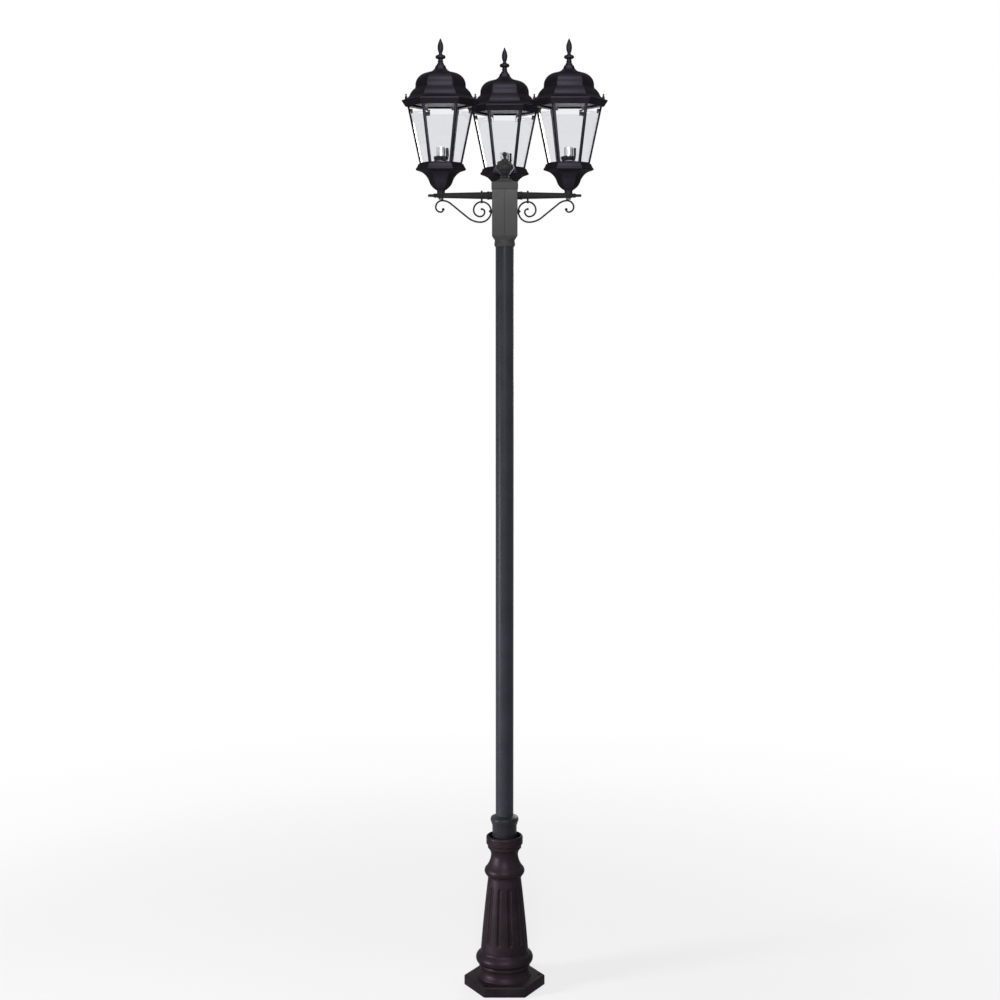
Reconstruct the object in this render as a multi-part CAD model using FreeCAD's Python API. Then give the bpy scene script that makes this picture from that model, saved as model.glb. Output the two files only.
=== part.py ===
"""Triple head lamp post: a fluted cast base, a tube pole and a square hub with three lantern arms.

Millimetres, +Z up. The origin is the centre of the base plate's underside. The front of the
post looks along -Y, two arms reach along -X and +X and the third reaches back along +Y.
"""
import FreeCAD
import Part
import math
import os

V = FreeCAD.Vector
ORIGIN = V(0, 0, 0)
UP = V(0, 0, 1)
COS30 = math.cos(math.radians(30))

# ---- clearances -------------------------------------------------------------
SLIP = 0.05          # radial fit of a thread or plug in its bore
LOOSE = 0.1          # radial room round a piece in a plain hole
REST = 0.3           # gap under a piece that lifts or turns
SCREW_ROOM = 0.5     # radial room of a screw in a hole that it only passes

# ---- base casting -----------------------------------------------------------
PLATE_CORNER = 130.5         # corner radius of the six-sided plate
PLATE_HEIGHT = 33.0
PLATE_BEVEL = 3.0
PLATE_WALL = 8.0
ANCHOR_COUNT = 3
ANCHOR_CIRCLE = 112.0        # radius of the circle through the anchor holes
ANCHOR_HOLE = 5.5
ANCHOR_BOSS = 12.0
BELL_FOOT = 88.0
BELL_TOP = 80.0
BELL_HEIGHT = 29.0
BASE_BEAD = 82.6             # radius of the thin ring over the bell
BASE_ROLL = 92.4             # radius of the large roll under the column
COLUMN_FOOT = 76.5
COLUMN_MIDDLE = 65.8
COLUMN_HEAD = 52.7
COLUMN_START = 122.0
COLUMN_END = 362.0
COLUMN_WALL = 10.3
FLUTE_COUNT = 12
FLUTE_RADIUS = 7.5
FLUTE_DEPTH = 4.6
FLUTE_BOTTOM = 155.0
FLUTE_TOP = 329.0
HEAD_RING = 64.5             # radius of the ring over the column
VASE_NECK = 43.5
CUP_LIP = 53.8
CUP_RADIUS = 58.6
CUP_BORE = 51.0
CUP_DEPTH = 29.5

# ---- pole and its sleeve ----------------------------------------------------
POLE_RADIUS = 28.5
POLE_WALL = 2.5
POLE_FOOT = 420.0            # height of the ledge that the pole stands on
POLE_LENGTH = 1976.0
CUP_FLOOR = POLE_FOOT + 50.0
CUP_TOP = CUP_FLOOR + CUP_DEPTH
LEDGE = 12.0
CABLE_HOLE = 24.0            # radius of the cable way through the ledge and the hub floor
SLEEVE_SPIGOT = 34.9
SLEEVE_RADIUS = 39.2
SLEEVE_BEAD = 45.1
SLEEVE_TOP = CUP_TOP + 61.5
SET_SCREW_RADIUS = 4.0
SET_SCREW_HEIGHT = CUP_TOP + 18.5
SET_SCREW_ANGLES = (60, 120)

# ---- hub --------------------------------------------------------------------
HUB_FLAT = 39.3              # centre to flat side
HUB_EDGE = 3.5
HUB_WALL = 5.0
HUB_HEIGHT = 140.0
HUB_NECK = 30.9
HUB_TAPER = 14.0
COLLAR_RING = 32.3
COLLAR_LENGTH = 19.0
HUB_FLOOR = 12.0
HUB_STOP = 5.0               # foot of the taper up to the pole's end
HUB_FOOT = POLE_FOOT + POLE_LENGTH + HUB_TAPER - HUB_STOP    # where the square part starts
HUB_RIM = HUB_FOOT + HUB_HEIGHT
POLE_ENTRY = 24.0
GROOVE_WIDTH = 3.4
GROOVE_DEPTH = 1.5
BRIDGE_DROP = 34.0           # top of the bridge, below the hub's rim
BRIDGE_HEIGHT = 6.0
BRIDGE_WIDTH = 14.0
CAP_STUD = 3.0
STUD_ENTRY = 12.0            # stud's length inside the urn
CAP_BAND = 41.0
CAP_HEIGHT = 35.0
CAP_SPIGOT = 6.0
CAP_SPIGOT_WALL = 4.5
URN_RADIUS = 28.6
URN_BOWL_RISE = 26.0
URN_BALL_RISE = 73.0
URN_BALL = 7.2
URN_NECK = 4.2
TERMINAL_SIZE = (30.0, 14.0, 16.0)
TERMINAL_RISE = 42.0         # above the hub's floor

# ---- arms and scrolls -------------------------------------------------------
ARM_DROP = 17.0              # hub's rim down to the arm axis
ARM_HEIGHT = HUB_RIM - ARM_DROP
ARM_REACH = 196.5            # hub axis to lantern axis
ARM_ANGLES = {"left": 180, "right": 0, "rear": 90}
ARM_SPIGOT = 9.0
ARM_SPIGOT_LENGTH = 10.0
ARM_COLLAR = 13.2
ARM_COLLAR_LENGTH = 15.0
ARM_ROOT = 11.0
ARM_END = 7.6
ARM_PAST_LANTERN = 11.5
ARM_TIP = 40.0               # lantern axis to the tip of the nub
ARM_NUB = 4.4
ARM_BORE = 5.5
SEAT_RISE = 13.0             # arm axis up to the lantern's seat
SEAT_RADIUS = 12.5
NIPPLE_RADIUS = 5.0
NIPPLE_BORE = 3.5
NUT_FLATS = 6.8              # centre to flat
NUT_HEIGHT = 4.0
ROD = 2.7                    # radius of the scroll's rod
SCROLL_DROP = 48.0           # arm axis down to the scroll's bolt
SCROLL_PAD = 5.6
SCROLL_PAD_THICK = 6.2
SCROLL_BALL = 4.6
SCROLL_TIP = 3.6             # small ball on the inner curl
SCROLL_BOLT = 2.0
SCROLL_BOLT_HEAD = 4.2
INNER_CURL = ((29, -90), (25, -90), (20, -90), (14, -90), (9, -90))
OUTER_SWEEP = ((33, 90), (62, 39), 67.7, (41.6, -39), (20, -90), (15, -90), (8, -90))
CLIP_WIDTH = 6.0
CLIP_WALL = 2.2

# ---- lantern, heights counted from its seat ---------------------------------
RIM_TOP = 83.0
RIM_CORNER = 78.0
RIM_LEDGE = 70.0
RIM_OPENING = 48.0
BOWL_WAIST = 37.0            # corner radius of the bowl's rounded lower part
BOWL_FLOOR = 12.0
BOWL_WALL = 4.5
CAGE_FOOT = 65.6             # corner radius where the cage stands on the rim
CAGE_HEAD = 103.9            # corner radius at the cage's top
CAGE_TOP = RIM_TOP + 182.0
CAGE_WALL = 3.5
CAGE_SILL = 4.0
CAGE_HEAD_RING = 6.0
POST_FACE = 6.5
PANE_TOP = CAGE_TOP - 24.0
PANE_THICK = 2.5
PANE_BEVEL = 1.2
PANE_GAP = 0.5
CLIP_LENGTH = 9.0
CLIP_RISE = 8.0
CLIP_LIP = 5.0
CLIP_LIP_THICK = 1.4
ROOF_WALL = 3.5
ROOF_ROOM = 0.5              # fascia's inside clear of the cage's head
FASCIA_CORNER = CAGE_HEAD + (ROOF_WALL + ROOF_ROOM) / COS30
EAVE_CORNER = 119.5
FASCIA_BOTTOM = CAGE_TOP - 9.0
EAVE_HEIGHT = CAGE_TOP + 7.0
TIER_CORNER = 96.5
DOME_CORNER = 77.6
ROOF_CROWN = 14.0
ROOF_TOP = EAVE_HEIGHT + 108.0
ROOF_BOSS = 14.0
ROOF_SCREW_REACH = 106.0
ROOF_SCREW = 1.6
ROOF_SCREW_KNOB = 2.8
ROOF_SCREW_BOSS = 4.0
SCREW_PAD_RISE = 14.4        # flat pad under the knob, above the eave's edge
LUG_TOP = CAGE_TOP + 7.0
LUG_THICK = 3.5
LUG_RADIUS = 3.6
LUG_WIDTH = 7.0
FINIAL_STUB = 3.0
FINIAL_DISC = 15.5
FINIAL_SPEAR = 8.9
FINIAL_TIP = ROOF_TOP + 80.5
STRAP_HALF = 53.0
STRAP_WIDTH = 14.0
STRAP_THICK = 2.0
HOLDER_RADIUS = 22.0
HOLDER_HEIGHT = 21.0
SHELL_BORE = 13.0            # radius of the lamp thread
SHELL_WALL = 1.0
SHELL_HEIGHT = 27.0
HOUSING_HEIGHT = 25.0

LANTERN_SEAT = ARM_HEIGHT + SEAT_RISE
LANTERN_PLACES = {name: V(ARM_REACH * math.cos(math.radians(angle)),
                          ARM_REACH * math.sin(math.radians(angle)), LANTERN_SEAT)
                  for name, angle in ARM_ANGLES.items()}


# ---- helpers ----------------------------------------------------------------
def outline(start, *steps):
    """Closed face in the XZ plane. A step is a point, or (through, end) for an arc."""
    edges = []
    here = V(start[0], 0, start[1])
    first = here
    for step in steps:
        if isinstance(step[0], tuple):
            through, end = step
            there = V(end[0], 0, end[1])
            edges.append(Part.Arc(here, V(through[0], 0, through[1]), there).toShape())
        else:
            there = V(step[0], 0, step[1])
            edges.append(Part.makeLine(here, there))
        here = there
    edges.append(Part.makeLine(here, first))
    return Part.Face(Part.Wire(edges))


def turned(face):
    """Solid of revolution about Z."""
    return face.revolve(ORIGIN, UP, 360)


def lathed(face):
    """Solid of revolution about X, from an outline of (x, radius) points."""
    return face.revolve(ORIGIN, V(1, 0, 0), 360)


def spun(shape, angle, axis=UP, centre=ORIGIN):
    """Copy turned about an axis through a centre."""
    copy = shape.copy()
    copy.rotate(centre, axis, angle)
    return copy


def moved(shape, place):
    """Copy shifted by a vector."""
    copy = shape.copy()
    copy.translate(place)
    return copy


def disc(radius, height, place=ORIGIN, axis=UP):
    """Cylinder from a place along an axis."""
    return Part.makeCylinder(radius, height, place, axis)


def block(low, high):
    """Box between two corners."""
    size = V(*high) - V(*low)
    return Part.makeBox(size.x, size.y, size.z, V(*low))


def mitred(half, angles, reach=220.0):
    """Meet the same half outline from every side: a many-sided solid with mitred corners."""
    strip = moved(half, V(0, -reach, 0)).extrude(V(0, 2 * reach, 0))
    both = strip.fuse(strip.mirror(ORIGIN, V(1, 0, 0))).removeSplitter()
    solid = spun(both, angles[0])
    for angle in angles[1:]:
        solid = solid.common(spun(both, angle))
    return solid


def six_sided(half):
    """Six-sided solid with corners on the X axis, from centre-to-flat distances."""
    return mitred(half, (30, 90, 150))


def four_sided(half):
    """Square solid with flat sides on the X and Y axes."""
    return mitred(half, (0, 90))


def flat(corner, height):
    """Outline point given by its corner radius."""
    return (corner * COS30, height)


def domed(radius, height, rise):
    """Arc step from a rim point to the axis over a spherical cap."""
    ball = (radius ** 2 + rise ** 2) / (2 * rise)
    centre = height + rise - ball
    half = math.atan2(radius, height - centre) / 2
    return ((ball * math.sin(half), centre + ball * math.cos(half)), (0, height + rise))


def hex_nut(flats, bore, height, place):
    """Plain six-sided nut."""
    corners = [V(flats / COS30 * math.cos(math.radians(60 * k)),
                 flats / COS30 * math.sin(math.radians(60 * k)), 0) for k in range(7)]
    nut = Part.Face(Part.makePolygon(corners)).extrude(V(0, 0, height))
    return moved(nut.cut(disc(bore, height)), place)


def save(name, shape):
    """Write one sub-part."""
    shape.exportStep(os.path.join("parts", name + ".step"))


# ---- base -------------------------------------------------------------------
def column_radius(height):
    """Radius of the column's slightly swelling side."""
    middle = (COLUMN_START + COLUMN_END) / 2
    half = (COLUMN_END - COLUMN_START) / 2
    along = (height - middle) / half
    chord = (COLUMN_FOOT + COLUMN_HEAD) / 2 - along * (COLUMN_FOOT - COLUMN_HEAD) / 2
    swell = COLUMN_MIDDLE - (COLUMN_FOOT + COLUMN_HEAD) / 2
    return chord + swell * (1 - along ** 2)


def base_outer():
    """Turned outside of the base: bell, bead, roll, column, head ring, vase and cup."""
    bell_top = PLATE_HEIGHT + BELL_HEIGHT
    bead_top = bell_top + 14
    roll_top = COLUMN_START - 10
    column_middle = (COLUMN_START + COLUMN_END) / 2
    ring_low = COLUMN_END + 7
    ring_high = ring_low + 28
    vase = ring_high + 37
    lip = CUP_FLOOR - 11
    return outline(
        (0, PLATE_HEIGHT - PLATE_WALL), (BELL_FOOT, PLATE_HEIGHT - PLATE_WALL),
        (BELL_FOOT, PLATE_HEIGHT + 3),
        ((BELL_FOOT - 6, PLATE_HEIGHT + 13), (BELL_TOP, bell_top)),
        (BELL_TOP - 2, bell_top + 3),
        ((BASE_BEAD, bell_top + 8), (BELL_TOP + 1, bead_top)),
        ((BASE_ROLL, bead_top + 17), (COLUMN_FOOT + 4, roll_top)),
        ((COLUMN_FOOT + 0.8, roll_top + 4), (COLUMN_FOOT, COLUMN_START)),
        ((COLUMN_MIDDLE, column_middle), (COLUMN_HEAD, COLUMN_END)),
        (COLUMN_HEAD + 2.8, COLUMN_END + 2), (COLUMN_HEAD + 2.8, ring_low - 1),
        (COLUMN_HEAD + 4.5, ring_low),
        ((HEAD_RING, ring_low + 14), (COLUMN_HEAD + 4.3, ring_high)),
        (COLUMN_HEAD + 2, ring_high + 4),
        ((VASE_NECK + 3, vase - 15), (VASE_NECK, vase)),
        ((VASE_NECK + 2.4, vase + 14), (CUP_LIP, lip)),
        (CUP_LIP, CUP_FLOOR - 2), (CUP_RADIUS, CUP_FLOOR + 3), (CUP_RADIUS, CUP_TOP - 8),
        ((CUP_RADIUS - 1.5, CUP_TOP - 2), (CUP_RADIUS - 5, CUP_TOP)), (0, CUP_TOP))


def base_hollow():
    """Space inside the base, open downwards, with the ledge hole, the neck bore and the cup."""
    column = outline(
        (0, -1), (BELL_FOOT - 9, -1), (BELL_FOOT - 9, PLATE_HEIGHT - PLATE_WALL + 4),
        (BELL_TOP - 8, PLATE_HEIGHT + BELL_HEIGHT - 2),
        (BELL_TOP - 8, COLUMN_START - 16), (COLUMN_FOOT - COLUMN_WALL, COLUMN_START + 2),
        (COLUMN_HEAD - COLUMN_WALL + 2, COLUMN_END), (VASE_NECK - 6, POLE_FOOT - LEDGE),
        (0, POLE_FOOT - LEDGE))
    ledge = disc(CABLE_HOLE, LEDGE + 2, V(0, 0, POLE_FOOT - LEDGE - 1))
    neck = disc(SLEEVE_SPIGOT + LOOSE, CUP_FLOOR - POLE_FOOT + 1, V(0, 0, POLE_FOOT))
    cup = turned(outline((0, CUP_FLOOR), (CUP_BORE - 4, CUP_FLOOR),
                         ((CUP_BORE - 1.2, CUP_FLOOR + 1.2), (CUP_BORE, CUP_FLOOR + 4)),
                         (CUP_BORE, CUP_TOP - 4), (CUP_BORE + 2, CUP_TOP + 1), (0, CUP_TOP + 1)))
    return turned(column).multiFuse([ledge, neck, cup])


def plate():
    """Six-sided foot plate, hollow underneath, with a boss round each anchor hole."""
    apothem = PLATE_CORNER * COS30
    solid = six_sided(outline((0, 0), (apothem, 0), (apothem, PLATE_HEIGHT - PLATE_BEVEL),
                              (apothem - PLATE_BEVEL, PLATE_HEIGHT), (0, PLATE_HEIGHT)))
    pocket = apothem - PLATE_WALL
    hollow = six_sided(outline((0, -1), (pocket, -1), (pocket, PLATE_HEIGHT - PLATE_WALL),
                               (0, PLATE_HEIGHT - PLATE_WALL)))
    bosses = [disc(ANCHOR_BOSS, PLATE_HEIGHT, place) for place in anchor_places()]
    return solid.cut(hollow).multiFuse(bosses)


def anchor_places():
    """Centres of the anchor holes, at every other corner of the plate."""
    return [V(ANCHOR_CIRCLE * math.cos(math.radians(360 * k / ANCHOR_COUNT)),
              ANCHOR_CIRCLE * math.sin(math.radians(360 * k / ANCHOR_COUNT)), 0)
            for k in range(ANCHOR_COUNT)]


def flutes():
    """Round-ended grooves that follow the column's slope."""
    stand_off = FLUTE_RADIUS - FLUTE_DEPTH
    low = V(column_radius(FLUTE_BOTTOM) + stand_off, 0, FLUTE_BOTTOM)
    high = V(column_radius(FLUTE_TOP) + stand_off, 0, FLUTE_TOP)
    along = high - low
    cutter = disc(FLUTE_RADIUS, along.Length, low, along)
    cutter = cutter.multiFuse([Part.makeSphere(FLUTE_RADIUS, low),
                               Part.makeSphere(FLUTE_RADIUS, high)])
    pitch = 360 / FLUTE_COUNT
    return [spun(cutter, -90 + pitch * (k + 0.5)) for k in range(FLUTE_COUNT)]


def base_casting():
    """The whole base as one hollow casting."""
    body = plate().fuse(turned(base_outer()))
    holes = [disc(ANCHOR_HOLE, PLATE_HEIGHT + 2, place - V(0, 0, 1)) for place in anchor_places()]
    return body.cut(base_hollow()).cut(flutes() + holes).removeSplitter()


# ---- pole -------------------------------------------------------------------
def pole_sleeve():
    """Sleeve that stands in the base's cup and grips the foot of the pole."""
    bore = POLE_RADIUS + LOOSE
    bead_low = SLEEVE_TOP - 18
    body = turned(outline(
        (bore, POLE_FOOT), (SLEEVE_SPIGOT, POLE_FOOT), (SLEEVE_SPIGOT, CUP_FLOOR),
        (SLEEVE_RADIUS, CUP_FLOOR), (SLEEVE_RADIUS, bead_low - 7),
        (SLEEVE_RADIUS + 2.3, bead_low - 6), (SLEEVE_RADIUS + 2.3, bead_low - 1),
        (SLEEVE_RADIUS + 3.3, bead_low),
        ((SLEEVE_BEAD, bead_low + 8.5), (SLEEVE_RADIUS + 3.3, SLEEVE_TOP - 1)),
        (SLEEVE_RADIUS - 1, SLEEVE_TOP), (bore, SLEEVE_TOP + 5)))
    return body.cut([set_screw(SET_SCREW_RADIUS + LOOSE, angle) for angle in SET_SCREW_ANGLES])


def set_screw(radius, angle):
    """Screw from the pole's skin out through the sleeve."""
    length = SLEEVE_RADIUS + 2.5 - POLE_RADIUS
    return spun(disc(radius, length, V(POLE_RADIUS, 0, SET_SCREW_HEIGHT), V(1, 0, 0)), angle)


def sleeve_screws():
    """The two grip screws on the far side of the sleeve, their ends hollowed to the pole."""
    skin = disc(POLE_RADIUS, 40, V(0, 0, SET_SCREW_HEIGHT - 20))
    return Part.makeCompound([
        set_screw(SET_SCREW_RADIUS, angle).cut(skin) for angle in SET_SCREW_ANGLES])


def pole_tube():
    """Straight tube from the base's ledge to the hub's floor."""
    foot = V(0, 0, POLE_FOOT)
    return disc(POLE_RADIUS, POLE_LENGTH, foot).cut(
        disc(POLE_RADIUS - POLE_WALL, POLE_LENGTH, foot))


# ---- hub --------------------------------------------------------------------
def rounded_square(half, edge, height):
    """Closed wire of four sides and four rounded corners."""
    run = half - edge
    bow = run + edge * math.sqrt(0.5)
    edges = []
    for k in range(4):
        side = Part.makeLine(V(half, -run, height), V(half, run, height))
        corner = Part.Arc(V(half, run, height), V(bow, bow, height), V(run, half, height)).toShape()
        edges += [spun(side, 90 * k), spun(corner, 90 * k)]
    return Part.Wire(edges)


def round_in_eight(radius, height, flat_angle):
    """Circle cut into four short and four long arcs, to match a rounded square."""
    edges = []
    for k in range(4):
        ends = (90 * k - flat_angle, 90 * k + flat_angle, 90 * (k + 1) - flat_angle)
        for begin, finish in zip(ends, ends[1:]):
            turn = [math.radians(a) for a in (begin, (begin + finish) / 2, finish)]
            places = [V(radius * math.cos(a), radius * math.sin(a), height) for a in turn]
            edges.append(Part.Arc(*places).toShape())
    return Part.Wire(edges)


def hub_body():
    """Square hub with its square-to-round foot, pole collar, bridge and bores."""
    box = Part.Face(rounded_square(HUB_FLAT, HUB_EDGE, HUB_FOOT)).extrude(V(0, 0, HUB_HEIGHT))
    taper_foot = HUB_FOOT - HUB_TAPER
    taper = Part.makeLoft([round_in_eight(HUB_NECK, taper_foot, 5),
                           rounded_square(HUB_FLAT, HUB_EDGE, HUB_FOOT)], True, True)
    collar_foot = taper_foot - COLLAR_LENGTH
    collar = turned(outline(
        (0, collar_foot), (HUB_NECK, collar_foot), (HUB_NECK, collar_foot + 1),
        ((COLLAR_RING, collar_foot + 8), (HUB_NECK, collar_foot + 15)),
        (HUB_NECK, taper_foot), (0, taper_foot)))
    body = box.multiFuse([taper, collar])

    inner = HUB_FLAT - HUB_WALL
    pole_end = taper_foot + HUB_STOP
    wiring = block((-inner, -inner, pole_end + HUB_FLOOR), (inner, inner, HUB_RIM + 1))
    socket = disc(POLE_RADIUS + LOOSE, POLE_ENTRY, V(0, 0, pole_end - POLE_ENTRY))
    cable = disc(CABLE_HOLE, HUB_FLOOR + 2, V(0, 0, pole_end - 1))
    body = body.cut([wiring, socket, cable])

    bridge_top = HUB_RIM - BRIDGE_DROP
    bridge = block((-inner, -BRIDGE_WIDTH / 2, bridge_top - BRIDGE_HEIGHT),
                   (inner, BRIDGE_WIDTH / 2, bridge_top))
    body = body.fuse(bridge)

    cuts = [disc(CAP_STUD + LOOSE, BRIDGE_HEIGHT, V(0, 0, bridge_top - BRIDGE_HEIGHT))]
    for angle in ARM_ANGLES.values():
        bore = disc(ARM_SPIGOT + LOOSE, HUB_WALL + 2, V(inner - 1, 0, ARM_HEIGHT), V(1, 0, 0))
        hole = disc(SCROLL_BOLT + LOOSE, HUB_WALL + 2,
                    V(inner - 1, 0, ARM_HEIGHT - SCROLL_DROP), V(1, 0, 0))
        cuts += [spun(bore, angle), spun(hole, angle)]
    corners = [V(-GROOVE_WIDTH / 2, -HUB_FLAT, HUB_FOOT), V(GROOVE_WIDTH / 2, -HUB_FLAT, HUB_FOOT),
               V(0, GROOVE_DEPTH - HUB_FLAT, HUB_FOOT)]
    groove = Part.Face(Part.makePolygon(corners + corners[:1]))
    cuts.append(groove.extrude(V(0, 0, HUB_HEIGHT)))
    return body.cut(cuts).removeSplitter()


def hub_cap():
    """Square cap with an ogee top and a spigot that drops into the hub."""
    foot = HUB_RIM + REST
    top = HUB_RIM + CAP_HEIGHT
    outer = four_sided(outline(
        (0, foot), (CAP_BAND - 2, foot), (CAP_BAND, foot + 2.5), (CAP_BAND, foot + 16),
        ((CAP_BAND - 1.2, foot + 21), (CAP_BAND - 6, foot + 24)),
        ((21, top - 6), (13.5, top)), (0, top)))
    plug = HUB_FLAT - HUB_WALL - 2 * LOOSE - REST
    room = plug - CAP_SPIGOT_WALL
    spigot = block((-plug, -plug, foot - CAP_SPIGOT), (plug, plug, foot))
    hollow = block((-room, -room, foot - CAP_SPIGOT), (room, room, foot + 15))
    hole = disc(CAP_STUD + SCREW_ROOM, CAP_HEIGHT, V(0, 0, foot))
    return outer.fuse(spigot).cut([hollow, hole]).removeSplitter()


def cap_stud():
    """Threaded rod from the hub's bridge up into the urn."""
    foot = HUB_RIM - BRIDGE_DROP - BRIDGE_HEIGHT
    top = HUB_RIM + CAP_HEIGHT + STUD_ENTRY
    return disc(CAP_STUD, top - foot, V(0, 0, foot))


def hub_finial():
    """Turned urn that screws down over the cap's stud."""
    foot = HUB_RIM + CAP_HEIGHT + REST
    bowl = foot + URN_BOWL_RISE
    ball = foot + URN_BALL_RISE
    ball_foot = ball - math.sqrt(URN_BALL ** 2 - URN_NECK ** 2)
    body = turned(outline(
        (0, foot), (11, foot), ((13.4, foot + 4), (11, foot + 8)), (10, foot + 9),
        ((15, foot + 13), (19.5, foot + 20)), (26, bowl),
        ((URN_RADIUS, bowl + 7.5), (26, bowl + 15)), (24, bowl + 16), (17.5, bowl + 18.5),
        ((12.4, bowl + 24), (9.5, bowl + 31)), (URN_NECK, bowl + 34), (URN_NECK, ball_foot),
        domed(URN_NECK, ball_foot, ball + URN_BALL - ball_foot)))
    return body.cut(disc(CAP_STUD + SLIP, STUD_ENTRY + REST, V(0, 0, foot)))


def terminal_block():
    """Screw terminal block on the hub's front wall."""
    width, depth, height = TERMINAL_SIZE
    wall = HUB_WALL - HUB_FLAT
    foot = POLE_FOOT + POLE_LENGTH + HUB_FLOOR + TERMINAL_RISE
    body = block((-width / 2, wall, foot), (width / 2, wall + depth, foot + height))
    ways = [disc(2.2, depth - 3, V(x, wall + depth, foot + height / 2), V(0, -1, 0))
            for x in (-width / 3, 0, width / 3)]
    return body.cut(ways)


# ---- arms -------------------------------------------------------------------
def arm_radius(reach):
    """Radius of the tapering arm at a distance from the hub's axis."""
    start = HUB_FLAT + ARM_COLLAR_LENGTH
    slope = (ARM_ROOT - ARM_END) / (ARM_REACH + ARM_PAST_LANTERN - start)
    return ARM_ROOT - slope * (reach - start)


def arm():
    """Tapering tube with its collar, lantern seat and turned tip, along +X at height 0."""
    inside = HUB_FLAT - ARM_SPIGOT_LENGTH
    start = HUB_FLAT + ARM_COLLAR_LENGTH
    end = ARM_REACH + ARM_PAST_LANTERN
    tip = ARM_REACH + ARM_TIP
    body = lathed(outline(
        (inside, 0), (inside, ARM_SPIGOT), (HUB_FLAT, ARM_SPIGOT), (HUB_FLAT, ARM_COLLAR - 1.2),
        (start - 6, ARM_COLLAR - 1.2), ((start - 3, ARM_COLLAR), (start, ARM_COLLAR - 1.2)),
        (start, ARM_ROOT), (end, ARM_END), (end + 1.5, ARM_END - 2),
        ((end + 6, ARM_END - 0.8), (end + 11, ARM_END - 2)), (end + 12, ARM_NUB),
        (tip - 2.5, ARM_NUB - 0.3), (tip, ARM_NUB - 2.2), (tip, 0)))
    seat = disc(SEAT_RADIUS, SEAT_RISE, V(ARM_REACH, 0, 0))
    pad = disc(NUT_FLATS, ARM_END + 0.9, V(ARM_REACH, 0, 0), V(0, 0, -1))
    bore = disc(ARM_BORE, ARM_REACH - inside, V(inside, 0, 0), V(1, 0, 0))
    hole = disc(NIPPLE_RADIUS + LOOSE, 2 * SEAT_RISE, V(ARM_REACH, 0, -SEAT_RISE))
    return body.multiFuse([seat, pad]).cut([bore, hole]).removeSplitter()


def rod_run(face, heading, steps):
    """Carry a round section along arcs and straights in the XZ plane, piece by piece."""
    pieces = []
    centre = face.CenterOfMass
    for step in steps:
        if isinstance(step, tuple):
            radius, turn = step
            side = V(-heading.z, 0, heading.x) * math.copysign(radius, turn)
            hinge = centre + side
            axis = V(0, -math.copysign(1, turn), 0)
            pieces.append(face.revolve(hinge, axis, abs(turn)))
            face = spun(face, abs(turn), axis, hinge)
            bend = FreeCAD.Rotation(axis, abs(turn))
            heading = bend.multVec(heading)
            centre = hinge + bend.multVec(centre - hinge)
        else:
            pieces.append(face.extrude(heading * step))
            face = moved(face, heading * step)
            centre = centre + heading * step
    return pieces, centre


def scroll():
    """One bent rod: the inner curl, the pad on the hub and the sweep out to the ball end."""
    start = V(HUB_FLAT + ROD, 0, -SCROLL_DROP)
    face = Part.Face(Part.Wire(Part.makeCircle(ROD, start, UP)))
    inner, tip = rod_run(face, UP, INNER_CURL)
    outer, end = rod_run(face, V(0, 0, -1), OUTER_SWEEP)
    pad = disc(SCROLL_PAD, SCROLL_PAD_THICK, V(HUB_FLAT, 0, -SCROLL_DROP), V(1, 0, 0))
    balls = [Part.makeSphere(SCROLL_BALL, end), Part.makeSphere(SCROLL_TIP, tip)]
    body = inner[0].multiFuse(inner[1:] + outer + balls + [pad])
    bolt = disc(SCROLL_BOLT + LOOSE, SCROLL_PAD_THICK + 2, V(HUB_FLAT - 1, 0, -SCROLL_DROP),
                V(1, 0, 0))
    return body.cut(bolt).removeSplitter()


def scroll_bolt():
    """Round-headed bolt through the scroll's pad and the hub's wall."""
    seat = HUB_FLAT + SCROLL_PAD_THICK
    inside = HUB_FLAT - HUB_WALL - 1
    dome = domed(SCROLL_BOLT_HEAD, seat + 1, 2.8)
    body = lathed(outline(
        (inside, 0), (inside, SCROLL_BOLT), (seat, SCROLL_BOLT), (seat, SCROLL_BOLT_HEAD),
        (seat + 1, SCROLL_BOLT_HEAD), tuple(point[::-1] for point in dome)))
    return moved(body, V(0, 0, -SCROLL_DROP))


def arm_clip():
    """Ring round the arm with a screw knob on top and an eye for the scroll below."""
    place = HUB_FLAT + ROD + INNER_CURL[0][0]
    low = place - CLIP_WIDTH / 2
    high = place + CLIP_WIDTH / 2
    outer = arm_radius(place) + CLIP_WALL
    rod_height = INNER_CURL[0][0] - SCROLL_DROP
    ring = disc(outer, CLIP_WIDTH, V(low, 0, 0), V(1, 0, 0))
    lug = block((low, -4.5, rod_height - ROD - 2), (high, 4.5, 0))
    knob = disc(2.6, 3.2, V(place, 0, outer - 0.8))
    room = lathed(outline((low - 1, 0), (low - 1, arm_radius(low - 1) + LOOSE),
                          (high + 1, arm_radius(high + 1) + LOOSE), (high + 1, 0)))
    eye = disc(ROD + REST, CLIP_WIDTH + 2, V(low - 1, 0, rod_height - 0.1), V(1, 0, 0))
    return ring.multiFuse([lug, knob]).cut([room, eye]).removeSplitter()


# ---- lantern ----------------------------------------------------------------
def cage_corner(height):
    """Corner radius of the tapering cage."""
    return CAGE_FOOT + (CAGE_HEAD - CAGE_FOOT) * (height - RIM_TOP) / (CAGE_TOP - RIM_TOP)


CAGE_TILT = math.atan((CAGE_HEAD - CAGE_FOOT) * COS30 / (CAGE_TOP - RIM_TOP))


def cage_inside(height, depth=0.0):
    """Centre-to-flat distance of the cage's inner faces, or of a plane further in."""
    return cage_corner(height) * COS30 - (CAGE_WALL + depth) / math.cos(CAGE_TILT)


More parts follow.
